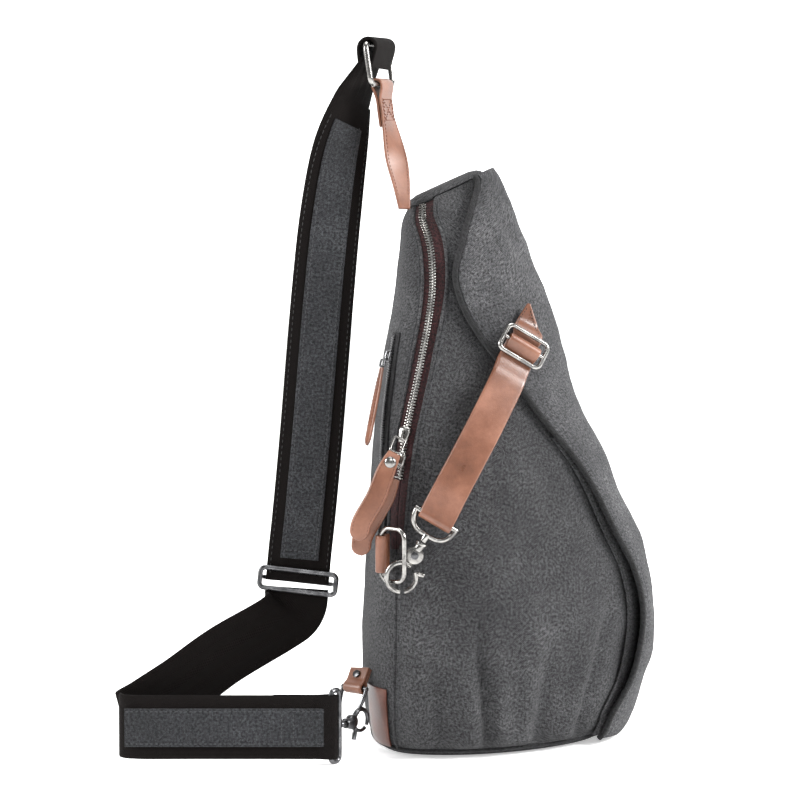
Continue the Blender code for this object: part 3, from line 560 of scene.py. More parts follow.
def stitch_line(shape, points, outs, pitch=3.6, share=0.68, radius=0.42):
    """Thread stitches along a line that lies on a surface; outs are the surface's directions there."""
    rows = [(*p, *o) for p, o in zip(points, outs)]
    tree = list(zip(points, outs))
    for place, heading in even(points, pitch):
        out = min(tree, key=lambda pair: (pair[0] - place).length_squared)[1]
        side = heading.cross(out).normalized()
        half = pitch * share / 2
        rings = []
        for f, size in ((-1, 0.35), (-0.75, 0.8), (0, 1), (0.75, 0.8), (1, 0.35)):
            middle = place + heading * half * f - out * radius * 0.9 * f * f
            rings.append([middle + (side * math.cos(a) + out * math.sin(a)) * radius * size
                          for a in (2 * math.pi * k / 6 for k in range(6))])
        shape.loft(rings)
    return rows


# ---------------------------------------------------------------- materials

class Nodes:
    """A Principled material built up node by node."""

    def __init__(self, name):
        self.material = bpy.data.materials.new(name)
        self.material.use_nodes = True
        self.tree = self.material.node_tree
        self.shader = self.tree.nodes["Principled BSDF"]
        self.places = self.tree.nodes.new("ShaderNodeTexCoord")
        self.lengths = self.tree.nodes.new("ShaderNodeUVMap")
        self.lengths.uv_map = "lengths"

    def set(self, **values):
        for key, value in values.items():
            self.shader.inputs[key.replace("_", " ")].default_value = value

    def link(self, source, target):
        self.tree.links.new(source, target)

    def math(self, kind, one, two=None, clamp=False):
        node = self.tree.nodes.new("ShaderNodeMath")
        node.operation = kind
        node.use_clamp = clamp
        for i, value in enumerate((one, two)):
            if value is None:
                continue
            if isinstance(value, (int, float)):
                node.inputs[i].default_value = value
            else:
                self.link(value, node.inputs[i])
        return node.outputs[0]

    def noise(self, scale, detail=4.0, stretch=(1, 1, 1), on="place", rough=0.55):
        mapping = self.tree.nodes.new("ShaderNodeMapping")
        mapping.inputs["Scale"].default_value = stretch
        self.link(self.places.outputs["Object"] if on == "place" else self.lengths.outputs[0],
                  mapping.inputs["Vector"])
        node = self.tree.nodes.new("ShaderNodeTexNoise")
        node.inputs["Scale"].default_value = scale
        node.inputs["Detail"].default_value = detail
        node.inputs["Roughness"].default_value = rough
        self.link(mapping.outputs[0], node.inputs["Vector"])
        return node.outputs[0]

    def cells(self, scale, on="place"):
        node = self.tree.nodes.new("ShaderNodeTexVoronoi")
        node.feature = "DISTANCE_TO_EDGE"
        node.inputs["Scale"].default_value = scale
        self.link(self.places.outputs["Object"] if on == "place" else self.lengths.outputs[0],
                  node.inputs["Vector"])
        return node.outputs[0]

    def split_lengths(self):
        node = self.tree.nodes.new("ShaderNodeSeparateXYZ")
        self.link(self.lengths.outputs[0], node.inputs[0])
        return node.outputs[0], node.outputs[1]

    def span(self, value, low, high, to_low=0.0, to_high=1.0):
        node = self.tree.nodes.new("ShaderNodeMapRange")
        self.link(value, node.inputs[0])
        for i, number in enumerate((low, high, to_low, to_high)):
            node.inputs[i + 1].default_value = number
        return node.outputs[0]

    def ramp(self, value, stops):
        node = self.tree.nodes.new("ShaderNodeValToRGB")
        band = node.color_ramp
        while len(band.elements) < len(stops):
            band.elements.new(0.5)
        for element, (at, colour) in zip(band.elements, stops):
            element.position = at
            element.color = (*colour, 1)
        self.link(value, node.inputs[0])
        return node.outputs[0]

    def blend(self, share, one, two, kind="MIX"):
        node = self.tree.nodes.new("ShaderNodeMix")
        node.data_type = "RGBA"
        node.blend_type = kind
        if isinstance(share, (int, float)):
            node.inputs[0].default_value = share
        else:
            self.link(share, node.inputs[0])
        for i, value in ((6, one), (7, two)):
            if isinstance(value, tuple):
                node.inputs[i].default_value = (*value, 1)
            else:
                self.link(value, node.inputs[i])
        return node.outputs[2]

    def bump(self, height, distance, strength=1.0, under=None):
        node = self.tree.nodes.new("ShaderNodeBump")
        node.inputs["Strength"].default_value = strength
        node.inputs["Distance"].default_value = distance
        self.link(height, node.inputs["Height"])
        if under is not None:
            self.link(under, node.inputs["Normal"])
        return node.outputs[0]

    def weave(self, pitch):
        """Plain weave: -1 to 1, threads crossing at a pitch in mm."""
        u, w = self.split_lengths()
        one = self.math("SINE", self.math("MULTIPLY", u, math.pi / pitch))
        two = self.math("SINE", self.math("MULTIPLY", w, math.pi / pitch))
        return self.math("MULTIPLY", one, two)

    def finish(self, colour, rough, normal_out):
        if colour is not None:
            self.link(colour, self.shader.inputs["Base Color"])
        if rough is not None:
            self.link(rough, self.shader.inputs["Roughness"])
        if normal_out is not None:
            self.link(normal_out, self.shader.inputs["Normal"])
        return self.material


def canvas(name, dark, light, worn, pitch=0.62):
    """Washed canvas: plain weave, uneven yarn, cloudy fading and pale wear."""
    n = Nodes(name)
    weave = n.weave(pitch)
    yarn_u = n.noise(1.0, 2.0, (0.16, 1.5, 1), "lengths")
    yarn_w = n.noise(1.0, 2.0, (1.5, 0.14, 1), "lengths")
    yarn = n.math("ADD", n.math("MULTIPLY", yarn_u, 0.5), n.math("MULTIPLY", yarn_w, 0.5))
    clouds = n.noise(16.0, 5.0, rough=0.62)
    patches = n.noise(48.0, 6.0, rough=0.7)
    tone = n.math("ADD", n.math("MULTIPLY", yarn, 1.1), n.math("MULTIPLY", clouds, 0.8))
    tone = n.math("ADD", tone, n.math("MULTIPLY", patches, 0.5))
    colour = n.ramp(n.span(tone, 0.85, 1.55), ((0.0, dark), (0.55, light), (1.0, worn)))
    grain = n.span(weave, -1.0, 1.0, 0.62, 1.12)
    shade = n.tree.nodes.new("ShaderNodeCombineColor")
    for socket in shade.inputs:
        n.link(grain, socket)
    colour = n.blend(1.0, colour, shade.outputs[0], "MULTIPLY")
    slubs = n.noise(0.52, 3.0, (1, 1, 1), "lengths", 0.8)
    flecks = n.tree.nodes.new("ShaderNodeCombineColor")
    for socket in flecks.inputs:
        n.link(n.span(slubs, 0.38, 0.62, 0.2, 2.1), socket)
    colour = n.blend(1.0, colour, flecks.outputs[0], "MULTIPLY")
    height = n.math("ADD", n.math("MULTIPLY", weave, 0.55), n.math("MULTIPLY", yarn, 1.3))
    height = n.math("ADD", height, n.math("MULTIPLY", slubs, 1.6))
    bump = n.bump(height, 0.00045, 1.0)
    n.set(Sheen_Weight=0.06, Sheen_Roughness=0.6, Specular_IOR_Level=0.2)
    return n.finish(colour, n.span(clouds, 0.3, 0.7, 0.82, 0.95), bump)


def leather(name, dark, middle, light, gloss=0.42, grain=900.0):
    """Waxed leather: fine grain, cloudy dye, a little gloss."""
    n = Nodes(name)
    clouds = n.noise(38.0, 5.0, rough=0.6)
    fine = n.noise(520.0, 3.0)
    tone = n.math("ADD", n.math("MULTIPLY", clouds, 0.85), n.math("MULTIPLY", fine, 0.15))
    colour = n.ramp(n.span(tone, 0.32, 0.68), ((0.0, dark), (0.5, middle), (1.0, light)))
    pores = n.span(n.cells(grain), 0.0, 0.25)
    height = n.math("ADD", n.math("MULTIPLY", pores, 0.6), n.math("MULTIPLY", fine, 0.7))
    bump = n.bump(height, 0.00012, 0.55)
    n.set(Coat_Weight=0.25, Coat_Roughness=0.3, Specular_IOR_Level=0.5)
    return n.finish(colour, n.span(clouds, 0.3, 0.7, gloss - 0.07, gloss + 0.12), bump)


def metal(name, bright, dull, rough=0.2):
    """Plated casting: even shine with faint tarnish and handling marks."""
    n = Nodes(name)
    tarnish = n.noise(120.0, 5.0, rough=0.65)
    marks = n.noise(900.0, 2.0, (1, 1, 0.2))
    colour = n.ramp(n.span(tarnish, 0.35, 0.66), ((0.0, dull), (1.0, bright)))
    n.set(Metallic=1.0)
    worn = n.math("ADD", n.span(tarnish, 0.3, 0.7, rough + 0.12, rough), n.math("MULTIPLY", marks, 0.06))
    return n.finish(colour, worn, n.bump(marks, 0.00005, 0.25))


def webbing(name, dark, light, rib=1.5):
    """Heavy webbing: herringbone ribs along its length and a dull cotton face."""
    n = Nodes(name)
    u, w = n.split_lengths()
    fold = n.math("PINGPONG", u, 5.6)
    slant = n.math("ADD", w, n.math("MULTIPLY", fold, 0.9))
    ribs = n.math("SINE", n.math("MULTIPLY", slant, 2 * math.pi / rib))
    cross = n.math("SINE", n.math("MULTIPLY", u, 2 * math.pi / 1.1))
    fuzz = n.noise(2.2, 4.0, (1, 1, 1), "lengths")
    tone = n.math("ADD", n.math("MULTIPLY", ribs, 0.18), n.math("MULTIPLY", fuzz, 1.0))
    colour = n.ramp(n.span(tone, 0.15, 0.95), ((0.0, dark), (1.0, light)))
    height = n.math("ADD", n.math("MULTIPLY", ribs, 0.7), n.math("ADD", n.math("MULTIPLY", cross, 0.3), fuzz))
    n.set(Specular_IOR_Level=0.12)
    return n.finish(colour, n.span(fuzz, 0.3, 0.7, 0.75, 0.92), n.bump(height, 0.0003, 0.8))


def thread(name, colour):
    n = Nodes(name)
    twist = n.noise(1500.0, 2.0)
    dyed = n.ramp(twist, ((0.3, tuple(c * 0.6 for c in colour)), (0.7, colour)))
    return n.finish(dyed, n.span(twist, 0.3, 0.7, 0.6, 0.8), n.bump(twist, 0.0001, 0.5))


SHELL = canvas("canvas", (0.015, 0.015, 0.017), (0.038, 0.038, 0.040), (0.080, 0.080, 0.083))
FADED = canvas("canvas_light", (0.020, 0.020, 0.022), (0.055, 0.055, 0.058), (0.125, 0.124, 0.127))
STRIP_CLOTH = canvas("strip_cloth", (0.010, 0.011, 0.012), (0.024, 0.025, 0.028), (0.050, 0.052, 0.056))
BINDING = canvas("piping_fabric", (0.006, 0.006, 0.007), (0.013, 0.013, 0.014), (0.026, 0.026, 0.027), 0.5)
TAPE = canvas("tape_fabric", (0.012, 0.003, 0.004), (0.030, 0.008, 0.009), (0.052, 0.015, 0.016), 0.4)
WEB = webbing("webbing_fabric", (0.0012, 0.0008, 0.0007), (0.0065, 0.0042, 0.0036))
TAN = leather("leather", (0.10, 0.036, 0.018), (0.165, 0.062, 0.032), (0.235, 0.098, 0.056), 0.34)
BROWN = leather("dark_leather", (0.035, 0.010, 0.006), (0.07, 0.021, 0.012), (0.12, 0.04, 0.024), 0.4)
NICKEL = metal("nickel", (0.42, 0.41, 0.39), (0.16, 0.155, 0.15), 0.16)
STEEL = metal("gunmetal", (0.16, 0.16, 0.165), (0.055, 0.055, 0.058), 0.2)
GREY_THREAD = thread("thread_grey", (0.045, 0.046, 0.05))
TAN_THREAD = thread("thread_tan", (0.16, 0.055, 0.03))
DARK_THREAD = thread("thread_dark", (0.012, 0.011, 0.011))


def own(made, body, slot, *nodes, blended=False):
    """Hides the CAD parts a piece stands for and hangs the piece on the body that carries it, or bakes it in
    place when blended; the finish, slot, is not used.
    """
    if nodes:
        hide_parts(*nodes)
    if blended:
        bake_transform(made)
    else:
        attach(made, body)
    return made


# ---------------------------------------------------------------- the bag's cloth

def shell_shape(v, t, p):
    """Swelling and folds of the shell, fading out at the zip and where the flap covers it."""
    beside = eased((t - seam_t(v)) / 0.16) if t < 2 else 1.0
    covered = 0.35 if t > flap_t(v) + 0.08 else 1.0
    base = eased((v - BASE_LIFT) / 0.5)
    drape = FOLD_DEPTH * folds_at(p, FOLDS) + softness(p, 38.0, 1.8)
    return covered * beside * (drape * base + softness(p, 9.0, 0.22))


def back_shape(v, t, p):
    """The padded back: full in the middle, drawn in at its seams."""
    across = t if t <= 2 else 4 - t
    pad = 1.6 * eased((seam_t(v) - across) / 0.35)
    return pad * eased(v - 0.4) * eased((TOP - v) / 1.2) + softness(p, 34.0, 0.9) - 0.6


def flap_shape(v, t, p):
    """The flap rolls in at its free edge and holds soft creases."""
    edge = eased((t - flap_t(v)) / 0.12)
    sewn = eased((flap_far(v) - t) / 0.2)
    return edge * sewn * (folds_at(p, FLAP_FOLDS) + softness(p, 46.0, 1.9) + softness(p, 13.0, 0.45))


def build_cloth():
    low, high = BASE_LIFT, TOP - 0.05
    shell = sheet("shell_cloth", low, high, seam_front, lambda v: 4 + far_seam(v), -2.0, 0.0, 150, 150, SHELL,
                  shell_shape)
    own(shell, "bag", "canvas", "front_shell")
    back = sheet("back_pad", low, high, lambda v: far_seam(v) + 0.006, seam_back, -2.0, 0.0, 90, 60, SHELL,
                 back_shape)
    own(back, "bag", "canvas", "back_panel")
    pocket = sheet("pocket_cloth", *POCKET_LEVELS, lambda v: flap_t(v) - 0.03, lambda v: flap_far(v) - 0.08,
                   *POCKET_FACE, 60, 50, FADED)
    own(pocket, "bag", "canvas_light", "front_pocket_panel")

    count = 96
    rim = BASE_LIFT - 0.02
    foot = ((30, 0.0), (10, 0.0), (6, 0.25), (2.4, 1.1))
    rings = [level_ring(0, depth, count, height=z) for depth, z in foot]
    rings += [level_ring(v, depth, count) for v, depth in ((0.0, 0.3), (0.1, -0.3), (0.25, -0.4), (rim, 0))]
    rings += [level_ring(rim, 2, count), level_ring(0.1, 2, count)]
    own(Shape().loft(rings).make("base_cloth", SHELL, 60), "bag", "canvas", "base_panel")
    rings = [level_ring(TOP, 0, 48), level_ring(TOP, 1, 48, lift=2.0), level_ring(TOP, 4, 48, lift=4.0),
             level_ring(TOP, 9, 48, lift=5.2)]
    own(Shape().loft(rings).make("top_cloth", SHELL, 60), "bag", "canvas", "top_panel")

    cord = Shape().tube([skin(BASE_LIFT, 4 * k / 160, 0.5) for k in range(160)], 1.25, 10, closed=True)
    own(cord.make("base_welt", BINDING), "bag", "piping_fabric")
    ridges = Shape()
    for line in (seam_t, lambda v: 4 - seam_t(v)):
        top = 4.25 if line is seam_t else TOP - 0.1
        ridges.tube([skin(BASE_LIFT + 0.05 + (top - BASE_LIFT - 0.05) * k / 90, line(BASE_LIFT + 0.05 + (
            top - BASE_LIFT - 0.05) * k / 90), 0.1) for k in range(91)], 1.15, 10)
    own(ridges.make("side_seams", SHELL), "bag", "canvas")

    rows = Shape()

    def row(low, high, line, lift, steps=110):
        vs = [low + (high - low) * k / steps for k in range(steps + 1)]
        stitch_line(rows, [skin(v, line(v), lift + shell_shape(v, line(v), surface(v, line(v)))) for v in vs],
                    [normal(v, line(v)) for v in vs])

    row(0.6, 4.3, lambda v: shifted(v, seam_t(v), 4.0), 0.25)
    row(4.4, 10.7, lambda v: shifted(v, seam_front(v), 3.2), 0.25)
    around = [0.03 + 3.94 * k / 240 for k in range(241)]
    hem = BASE_LIFT - 0.24
    stitch_line(rows, [skin(hem, t, 0.55) for t in around], [normal(hem, t) for t in around])
    own(rows.make("shell_stitches", GREY_THREAD), "bag", "canvas")
    rows = Shape()
    vs = [4.4 + 6.3 * k / 110 for k in range(111)]

    def behind(v):
        return shifted(v, seam_back(v), -3.2)

    stitch_line(rows, [skin(v, behind(v), 0.2 + back_shape(v, behind(v), surface(v, behind(v)))) for v in vs],
                [normal(v, behind(v)) for v in vs])
    own(rows.make("back_stitches", GREY_THREAD), "bag", "canvas")


def build_flap():
    low, high = FLAP_LEVELS
    inner, outer = (flap_lift(face) for face in FLAP_STAND)
    cloth = sheet("flap_cloth", low, high, flap_t, flap_far, inner, outer, 170, 130, FADED, flap_shape)
    own(cloth, "flap", "canvas_light", "front_flap", blended=True)
    middle = flap_lift(sum(FLAP_STAND) / 2)
    steps = 200
    vs = [low + (high - low) * i / steps for i in range(steps + 1)]
    welt = Shape().tube([skin(v, shifted(v, flap_t(v), -WELT - 0.2), middle(v)) for v in vs], WELT, 14)
    own(welt.make("flap_welt", BINDING), "flap", "piping_fabric", "flap_piping", blended=True)
    rows = Shape()
    line = [(v, shifted(v, flap_t(v), 4.2)) for v in vs]
    stitch_line(rows, [skin(v, t, outer(v) + 0.15 + flap_shape(v, t, surface(v, t))) for v, t in line],
                [normal(v, t) for v, t in line])
    own(rows.make("flap_stitches", GREY_THREAD), "flap", "canvas_light", blended=True)


# ---------------------------------------------------------------- zips

def slider_frame(v, line):
    t = line(v)
    up = (surface(v + 0.1, line(v + 0.1)) - surface(v - 0.1, line(v - 0.1))).normalized()
    out = normal(v, t)
    across = out.cross(up).normalized()
    return surface(v, t), up, across, up.cross(across).normalized()


def build_teeth(name, low, high, line, lift, look, slot, node, pitch=2.1):
    steps = 260
    vs = [low + (high - low) * k / steps for k in range(steps + 1)]
    path = [skin(v, line(v), lift) for v in vs]
    outs = [normal(v, line(v)) for v in vs]
    teeth = Shape()
    pairs = list(zip(path, outs))
    for number, (place, up) in enumerate(even(path, pitch / 2)):
        out = min(pairs, key=lambda pair: (pair[0] - place).length_squared)[1]
        across = out.cross(up).normalized() * (1 if number % 2 else -1)
        middle = place + across * 0.9
        tooth = ((1, 0.7), (0.7, 1), (-0.7, 1), (-1, 0.7), (-1, -0.7), (-0.7, -1), (0.7, -1), (1, -0.7))
        rings = []
        for rise, size in ((-0.9, 1.0), (0.35, 1.0), (0.8, 0.82), (0.95, 0.55)):
            rings.append([middle + across * a * 1.75 * size + up * b * pitch * 0.27 * size + out * rise
                          for a, b in tooth])
        teeth.loft(rings)
    return own(teeth.make(name, look, 30), "bag", slot, node)


def build_slider(name, place, size, look, body, slot):
    point, up, across, out = place
    wide, long, base, thick = size
    shape = Shape()
    rings = []
    levels = ((base, 0.92), (base + 0.25, 1.0), (base + thick * 0.62, 1.0), (base + thick * 0.85, 0.92),
              (base + thick, 0.74))
    for lift, share in levels:
        ring = []
        for a, b in ((1, 0.45), (0.93, 0.8), (0.6, 1), (-0.6, 1), (-0.93, 0.8), (-1, 0.45), (-0.78, -0.5),
                     (-0.72, -0.92), (-0.5, -1), (0.5, -1), (0.72, -0.92), (0.78, -0.5)):
            ring.append(point + across * a * wide / 2 * share + up * b * long / 2 * share + out * lift)
        rings.append(ring)
    shape.loft(rings)
    foot = point + out * (base + thick - 0.4)
    shape.tube([foot + up * 3.2, foot + up * 2.9 + out * 1.2, foot + out * 1.75, foot - up * 2.9 + out * 1.2,
                foot - up * 3.2], 0.9, 10)
    own(shape.make(name + "_casting", look, 35), body, slot, name)


def tag_shape(path, across, widths, thick):
    """A leather puller with a round end, its width given along its length."""
    rows = refined([(p, across, w) for p, w in zip(path, widths)], 7)
    length = sum((b[0] - a[0]).length for a, b in zip(rows, rows[1:]))
    run, out = 0.0, []
    for i, (centre, wide_way, width) in enumerate(rows):
        if i:
            run += (centre - rows[i - 1][0]).length
        left = max(length - run, 0.0)
        round_off = min(1.0, math.sqrt(max(1 - ((7 - min(left, 7)) / 7) ** 2, 0.02)))
        out.append((centre, wide_way, width * round_off))
    return Shape().ribbon(out, thick, edge=min(thick / 2, 1.0), crown=0.25), out


def build_pull(prefix, body, hang, path, across, widths, thick, rivet, look, slot):
    down = (path[0] - hang).normalized()
    reach = (path[0] - hang).length
    side = (across - down * across.dot(down)).normalized()
    middle = hang + down * (reach / 2 - 0.7)
    wire = Shape().tube(rounded_loop(middle, side, down, 4.0, reach / 2 - 0.5, 1.8), 0.8, 12, closed=True)
    own(wire.make(prefix + "_wire", look), body, slot, prefix + "_ring")
    shape, rows = tag_shape(path, across, widths, thick)
    own(shape.make(prefix + "_leather", TAN, 50), body, "leather", prefix + "_tag")
    seams = Shape()
    face = across.cross((path[2] - path[1]).normalized()).normalized()
    face = -face if face.y > 0 else face
    for sign in (1, -1):
        line = [c + a.normalized() * sign * (w / 2 - 1.7) + face * (thick / 2 + 0.25)
                for c, a, w in rows[4:-4]]
        stitch_line(seams, line, [face] * len(line), 2.6, 0.62, 0.28)
    own(seams.make(prefix + "_stitches", TAN_THREAD), body, "leather")
    if rivet:
        start = (path[0] + path[1]) / 2 + face * (thick / 2 + 0.4)
        cap = Shape()
        one = across.normalized()
        two = one.cross(face)
        rings = []
        for size, rise in ((4.0, 0.0), (4.1, 0.5), (3.6, 1.15), (2.5, 1.6), (1.0, 1.85), (0.2, 1.9)):
            rings.append([start + face * rise + (one * math.cos(a) + two * math.sin(a)) * size
                          for a in (2 * math.pi * k / 28 for k in range(28))])
        own(cap.loft(rings).make(prefix + "_stud", NICKEL, 50), body, "nickel", prefix + "_rivet")


def build_zips():
    def edge(side, distance):
        return lambda v: shifted(v, seam_t(v), side * distance)

    for name, side in (("zip_tape_back", -1), ("zip_tape_front", 1)):
        near_edge, far_edge = edge(side, 0.35), edge(side, TAPE_HALF + 0.6)
        first, second = (near_edge, far_edge) if side > 0 else (far_edge, near_edge)
        made = sheet(name + "_cloth", TAPE_END, ZIP_HIGH, first, second, -1.5, -0.2, 90, 6, TAPE)
        own(made, "bag", "tape_fabric", name)
    build_teeth("zip_chain", ZIP_LOW + 0.02, ZIP_HIGH - 0.03, seam_t, 0.9, NICKEL, "nickel", "zip_teeth")
    rolls = Shape()
    for line, sign in ((seam_front, 1), (seam_back, -1)):
        vs = [4.45 + (ZIP_HIGH - 4.45) * k / 120 for k in range(121)]
        rolls.tube([skin(v, shifted(v, line(v), sign * 0.7), 0.15) for v in vs], 1.2, 10)
    own(rolls.make("zip_edges", SHELL), "bag", "canvas")
    start, end = edge(-1, TAPE_HALF - 0.4), edge(1, TAPE_HALF - 0.4)
    cap = sheet("zip_cap_cloth", ZIP_HIGH + 0.02, TOP - 0.06, start, end, -1.6, 1.6, 8, 10, BINDING)
    own(cap, "bag", "piping_fabric", "zip_end_cap")

    size = (8.6, 11.0, 2.5, 2.6)
    place = slider_frame(MAIN_SLIDER, seam_t)
    point, up, across, out = place
    build_slider("slider_main", place, size, NICKEL, "slider_main", "nickel")
    hang = point + out * 8.4 - up * 3.0
    build_pull("pull_main", "pull_main", hang, [hang + Vector(step) for step in MAIN_PULL_STEPS], PULL_ACROSS,
               (9.5, 13, 14, 14, 14), 4.0, True, NICKEL, "nickel")
    place = slider_frame(SECOND_SLIDER, seam_t)
    point, up, across, out = place
    build_slider("slider_second", place, size, NICKEL, "slider_second", "nickel")
    hang = point + out * 8.2 - up * 3.0
    build_pull("pull_second", "pull_second", hang, [hang + Vector(step) for step in SECOND_PULL_STEPS],
               PULL_ACROSS, (9.5, 13, 14, 14, 14), 3.0, False, NICKEL, "nickel")

    def line(distance):
        return lambda v: shifted(v, BACK_ZIP_T, distance)

    low, high = BACK_ZIP_LEVELS
    lift = GAP + 1.2
    made = sheet("back_zip_cloth", low, high, line(-6), line(6), GAP, lift + 0.8, 40, 6, BINDING)
    own(made, "bag", "piping_fabric", "back_zip_tape")
    build_teeth("back_zip_chain", low + 0.06, high - 0.06, line(0), lift + 1.2, STEEL, "gunmetal",
                "back_zip_teeth", 1.7)
    place = slider_frame(BACK_SLIDER, line(0))
    point, up, across, out = place
    build_slider("slider_back", place, (6.5, 8.0, 3.6, 2.0), STEEL, "slider_back", "gunmetal")
    hang = point + out * 8.4 - up * 3.0
    down = (-up + out * 0.06).normalized()
    build_pull("pull_back", "pull_back", hang, [hang + down * reach for reach in (6, 20, 40, 62)], across,
               (5, 8, 9, 9), 1.8, False, STEEL, "gunmetal")


# ---------------------------------------------------------------- flap strap and snap hook

def hook_top():
    return HOOK_RING - HOOK_DOWN * 47.0


def buckle_frame():
    v, t = locate(*BUCKLE_AT)
    middle = skin(v, t, flap_lift(FLAP_STAND[1])(v) + BUCKLE_LIFT)
    down = (hook_top() - middle).normalized()
    bar = (BUCKLE_BAR - down * BUCKLE_BAR.dot(down)).normalized()
    out = bar.cross(down).normalized()
    return middle, bar, down, -out if out.y > 0 else out


def build_flap_patch():
    """The stitched leather triangle, sewn flat on the flap and passing under the buckle's upper bar."""
    middle, bar, down, out = buckle_frame()
    hold = middle - down * 9.5
    low = 1.4 - BUCKLE_LIFT
    stops = ((6.0, -4.2, 20.0), (0.0, -4.6, 23.0), (-4.0, low * 0.62, 22.0), (-9.0, low * 0.9, 16.5),
             (-15.0, low + 0.4, 10.0), (-22.0, low + 0.6, 2.6))
    rows = [(hold + down * along + bar * (TRIANGLE_LEAN * min(along, 0)) + out * lift, bar, width)
            for along, lift, width in stops]
    rows = refined(rows, 7)
    own(Shape().ribbon(rows, LEATHER).make("flap_triangle", TAN, 50), "flap", "leather", "flap_patch")
    seams = Shape()
    for sign in (1, -1):
        line, outs = [], []
        for i in range(8, len(rows) - 4):
            centre, across, width = rows[i]
            face = across.cross(rows[i + 1][0] - rows[i - 1][0]).normalized()
            face = -face if face.dot(out) < 0 else face
            reach = sign * max(width / 2 - 1.9, 0.2)
            line.append(centre + across.normalized() * reach + face * (LEATHER / 2 + 0.1))
            outs.append(face)
        stitch_line(seams, line, outs, 2.4, 0.6, 0.34)
    own(seams.make("triangle_stitches", DARK_THREAD), "flap", "leather")


def build_flap_strap():
    middle, bar, down, out = buckle_frame()
    loop_line = rounded_loop(middle, bar, down, 16.5, 9.5, 4.0)
    frame_wire = Shape().tube(loop_line, 1.75, 16, closed=True, flat=0.86)
    frame_wire.tube([middle - bar * 16.6, middle + bar * 16.6], 1.4, 14)
    own(frame_wire.make("buckle_casting", NICKEL), "strap", "nickel", "flap_buckle")
    end = hook_top()
    along = (end - middle).normalized()
    span = (end - middle).length
    front, back = [], []
    distances = [0, 1.1, 2.2, 3.3, 4.4, 5.5, 6.6, 8, 9.5, 11, 12.5, 14, 16, 18.5, 21, 24.5, 28, 32]
    distances += [36 + (span - 36) * k / 34 for k in range(35)]
    for distance in distances:
        reach = distance / span
        across = bar.lerp(EYE_ALONG, reach)
        face = across.cross(along).normalized()
        face = face if face.dot(out) > 0 else -face
        closing = eased(distance / 8.0) * eased((span - 6 - distance) / 20)
        apart = STRAP_TURN + (LEATHER / 2 + 0.2 - STRAP_TURN) * closing
        sink = STRAP_SINK * eased(distance / 8.5) * eased((27 - distance) / 14)
        centre = middle + along * distance + face * (5.0 * math.sin(math.pi * reach) ** 2 - sink)
        front.append((centre + face * apart, across))
        back.append((centre - face * apart, across))
        if distance == 0:
            top_turn = [(p, across) for p in arc(middle, -face, -along, STRAP_TURN, 0, 180, 12)[1:-1]]
    low_turn = [(p, across) for p in arc(end, face, along, STRAP_TURN, 0, 180, 12)[1:-1]]
    loop = front + low_turn + back[::-1] + top_turn
    strap = Shape().ribbon([(c, a, FLAP_STRAP) for c, a in loop], LEATHER, closed=True, edge=0.9, crown=0.12)
    own(strap.make("flap_strap_leather", TAN, 50), "strap", "leather", "flap_strap")


def build_snap_hook():
    top = hook_top()
    side = Vector((-HOOK_DOWN.z, 0, HOOK_DOWN.x))
    across = Vector((0, 1, 0))
    bow = []
    for step in range(41):
        turn = math.pi * step / 40
        reach = math.copysign(abs(math.cos(turn)) ** 0.6, math.cos(turn))
        bow.append(top + EYE_ALONG * EYE_HALF * reach + HOOK_DOWN * 13.0 * math.sin(turn))
    eye = Shape().tube(bow, 1.8, 16)
    eye.rod(top - EYE_ALONG * (EYE_HALF + 1.6), top + EYE_ALONG * (EYE_HALF + 1.6), 1.8, 16, 0.8)
    eye.rod(top + HOOK_DOWN * 12.0, top + HOOK_DOWN * 18.2, 2.5, 18)
    own(eye.make("hook_eye_casting", NICKEL), "eye", "nickel", "hook_eye")

    body = Shape().rod(top + HOOK_DOWN * 18.7, top + HOOK_DOWN * 21.0, 4.1, 22, 0.6)
    body.rod(top + HOOK_DOWN * 20.6, top + HOOK_DOWN * 25.4, 3.3, 22)
    boss = top + HOOK_DOWN * 29.0
    body.rod(boss - across * 2.7, boss + across * 2.7, 6.3, 30, 0.9)
    up = -HOOK_DOWN
    body.tube(arc(HOOK_RING, up, -side, HOOK_RADIUS, -10, 205, 44),
              lambda f: 2.1 - 0.5 * f ** 2, 16)
    own(body.make("hook_body_casting", NICKEL), "hook", "nickel", "hook_body")
    gate = Shape().tube(arc(HOOK_RING, up, side, HOOK_RADIUS, 40, 138, 24), 1.75, 14)
    start = arc(HOOK_RING, up, side, HOOK_RADIUS, 44, 44, 1)[0]
    gate.rod(start, start + side * 6.0 + up * 1.5, 1.7, 14, 0.7)
    own(gate.make("hook_gate_casting", NICKEL), "gate", "nickel", "hook_gate")
    face = boss - across * 3.0
    pin = Shape().rod(face, face - across * 1.0, 2.7, 24, 0.6)
    own(pin.make("hook_pin", STEEL), "hook", "gunmetal", "hook_rivet")


def build_side_loop():
    root = near(2, SIDE_LOOP_Z)
    away = Vector((0.30, 1.0, 0)).normalized()
    face = Vector((1.0, -0.30, 0)).normalized()
    reach = (root - SIDE_LEG).length - 2.2
    path = hairpin(SIDE_LEG, away, face, 3.2, 8, reach, reach, LEATHER / 2 + 0.25)
    loop = Shape().ribbon([(p, Vector((0, 0, 1)), 26) for p in path], LEATHER)
    own(loop.make("side_loop_leather", TAN, 50), "bag", "dark_leather", "side_loop")
    plane = Vector((0.76, -0.65, 0)).normalized()
    middle = SIDE_LEG + plane * SIDE_RING_WIDE / 2
    wire = rounded_loop(middle, plane, Vector((0, 0, 1)), SIDE_RING_WIDE / 2, SIDE_RING_TALL / 2, 7.0, 10)
    ring = Shape().tube(wire, 1.6, 16, closed=True)
    own(ring.make("side_ring_wire", NICKEL), "side_ring", "nickel", "side_ring")


# ---------------------------------------------------------------- shoulder strap and its hardware

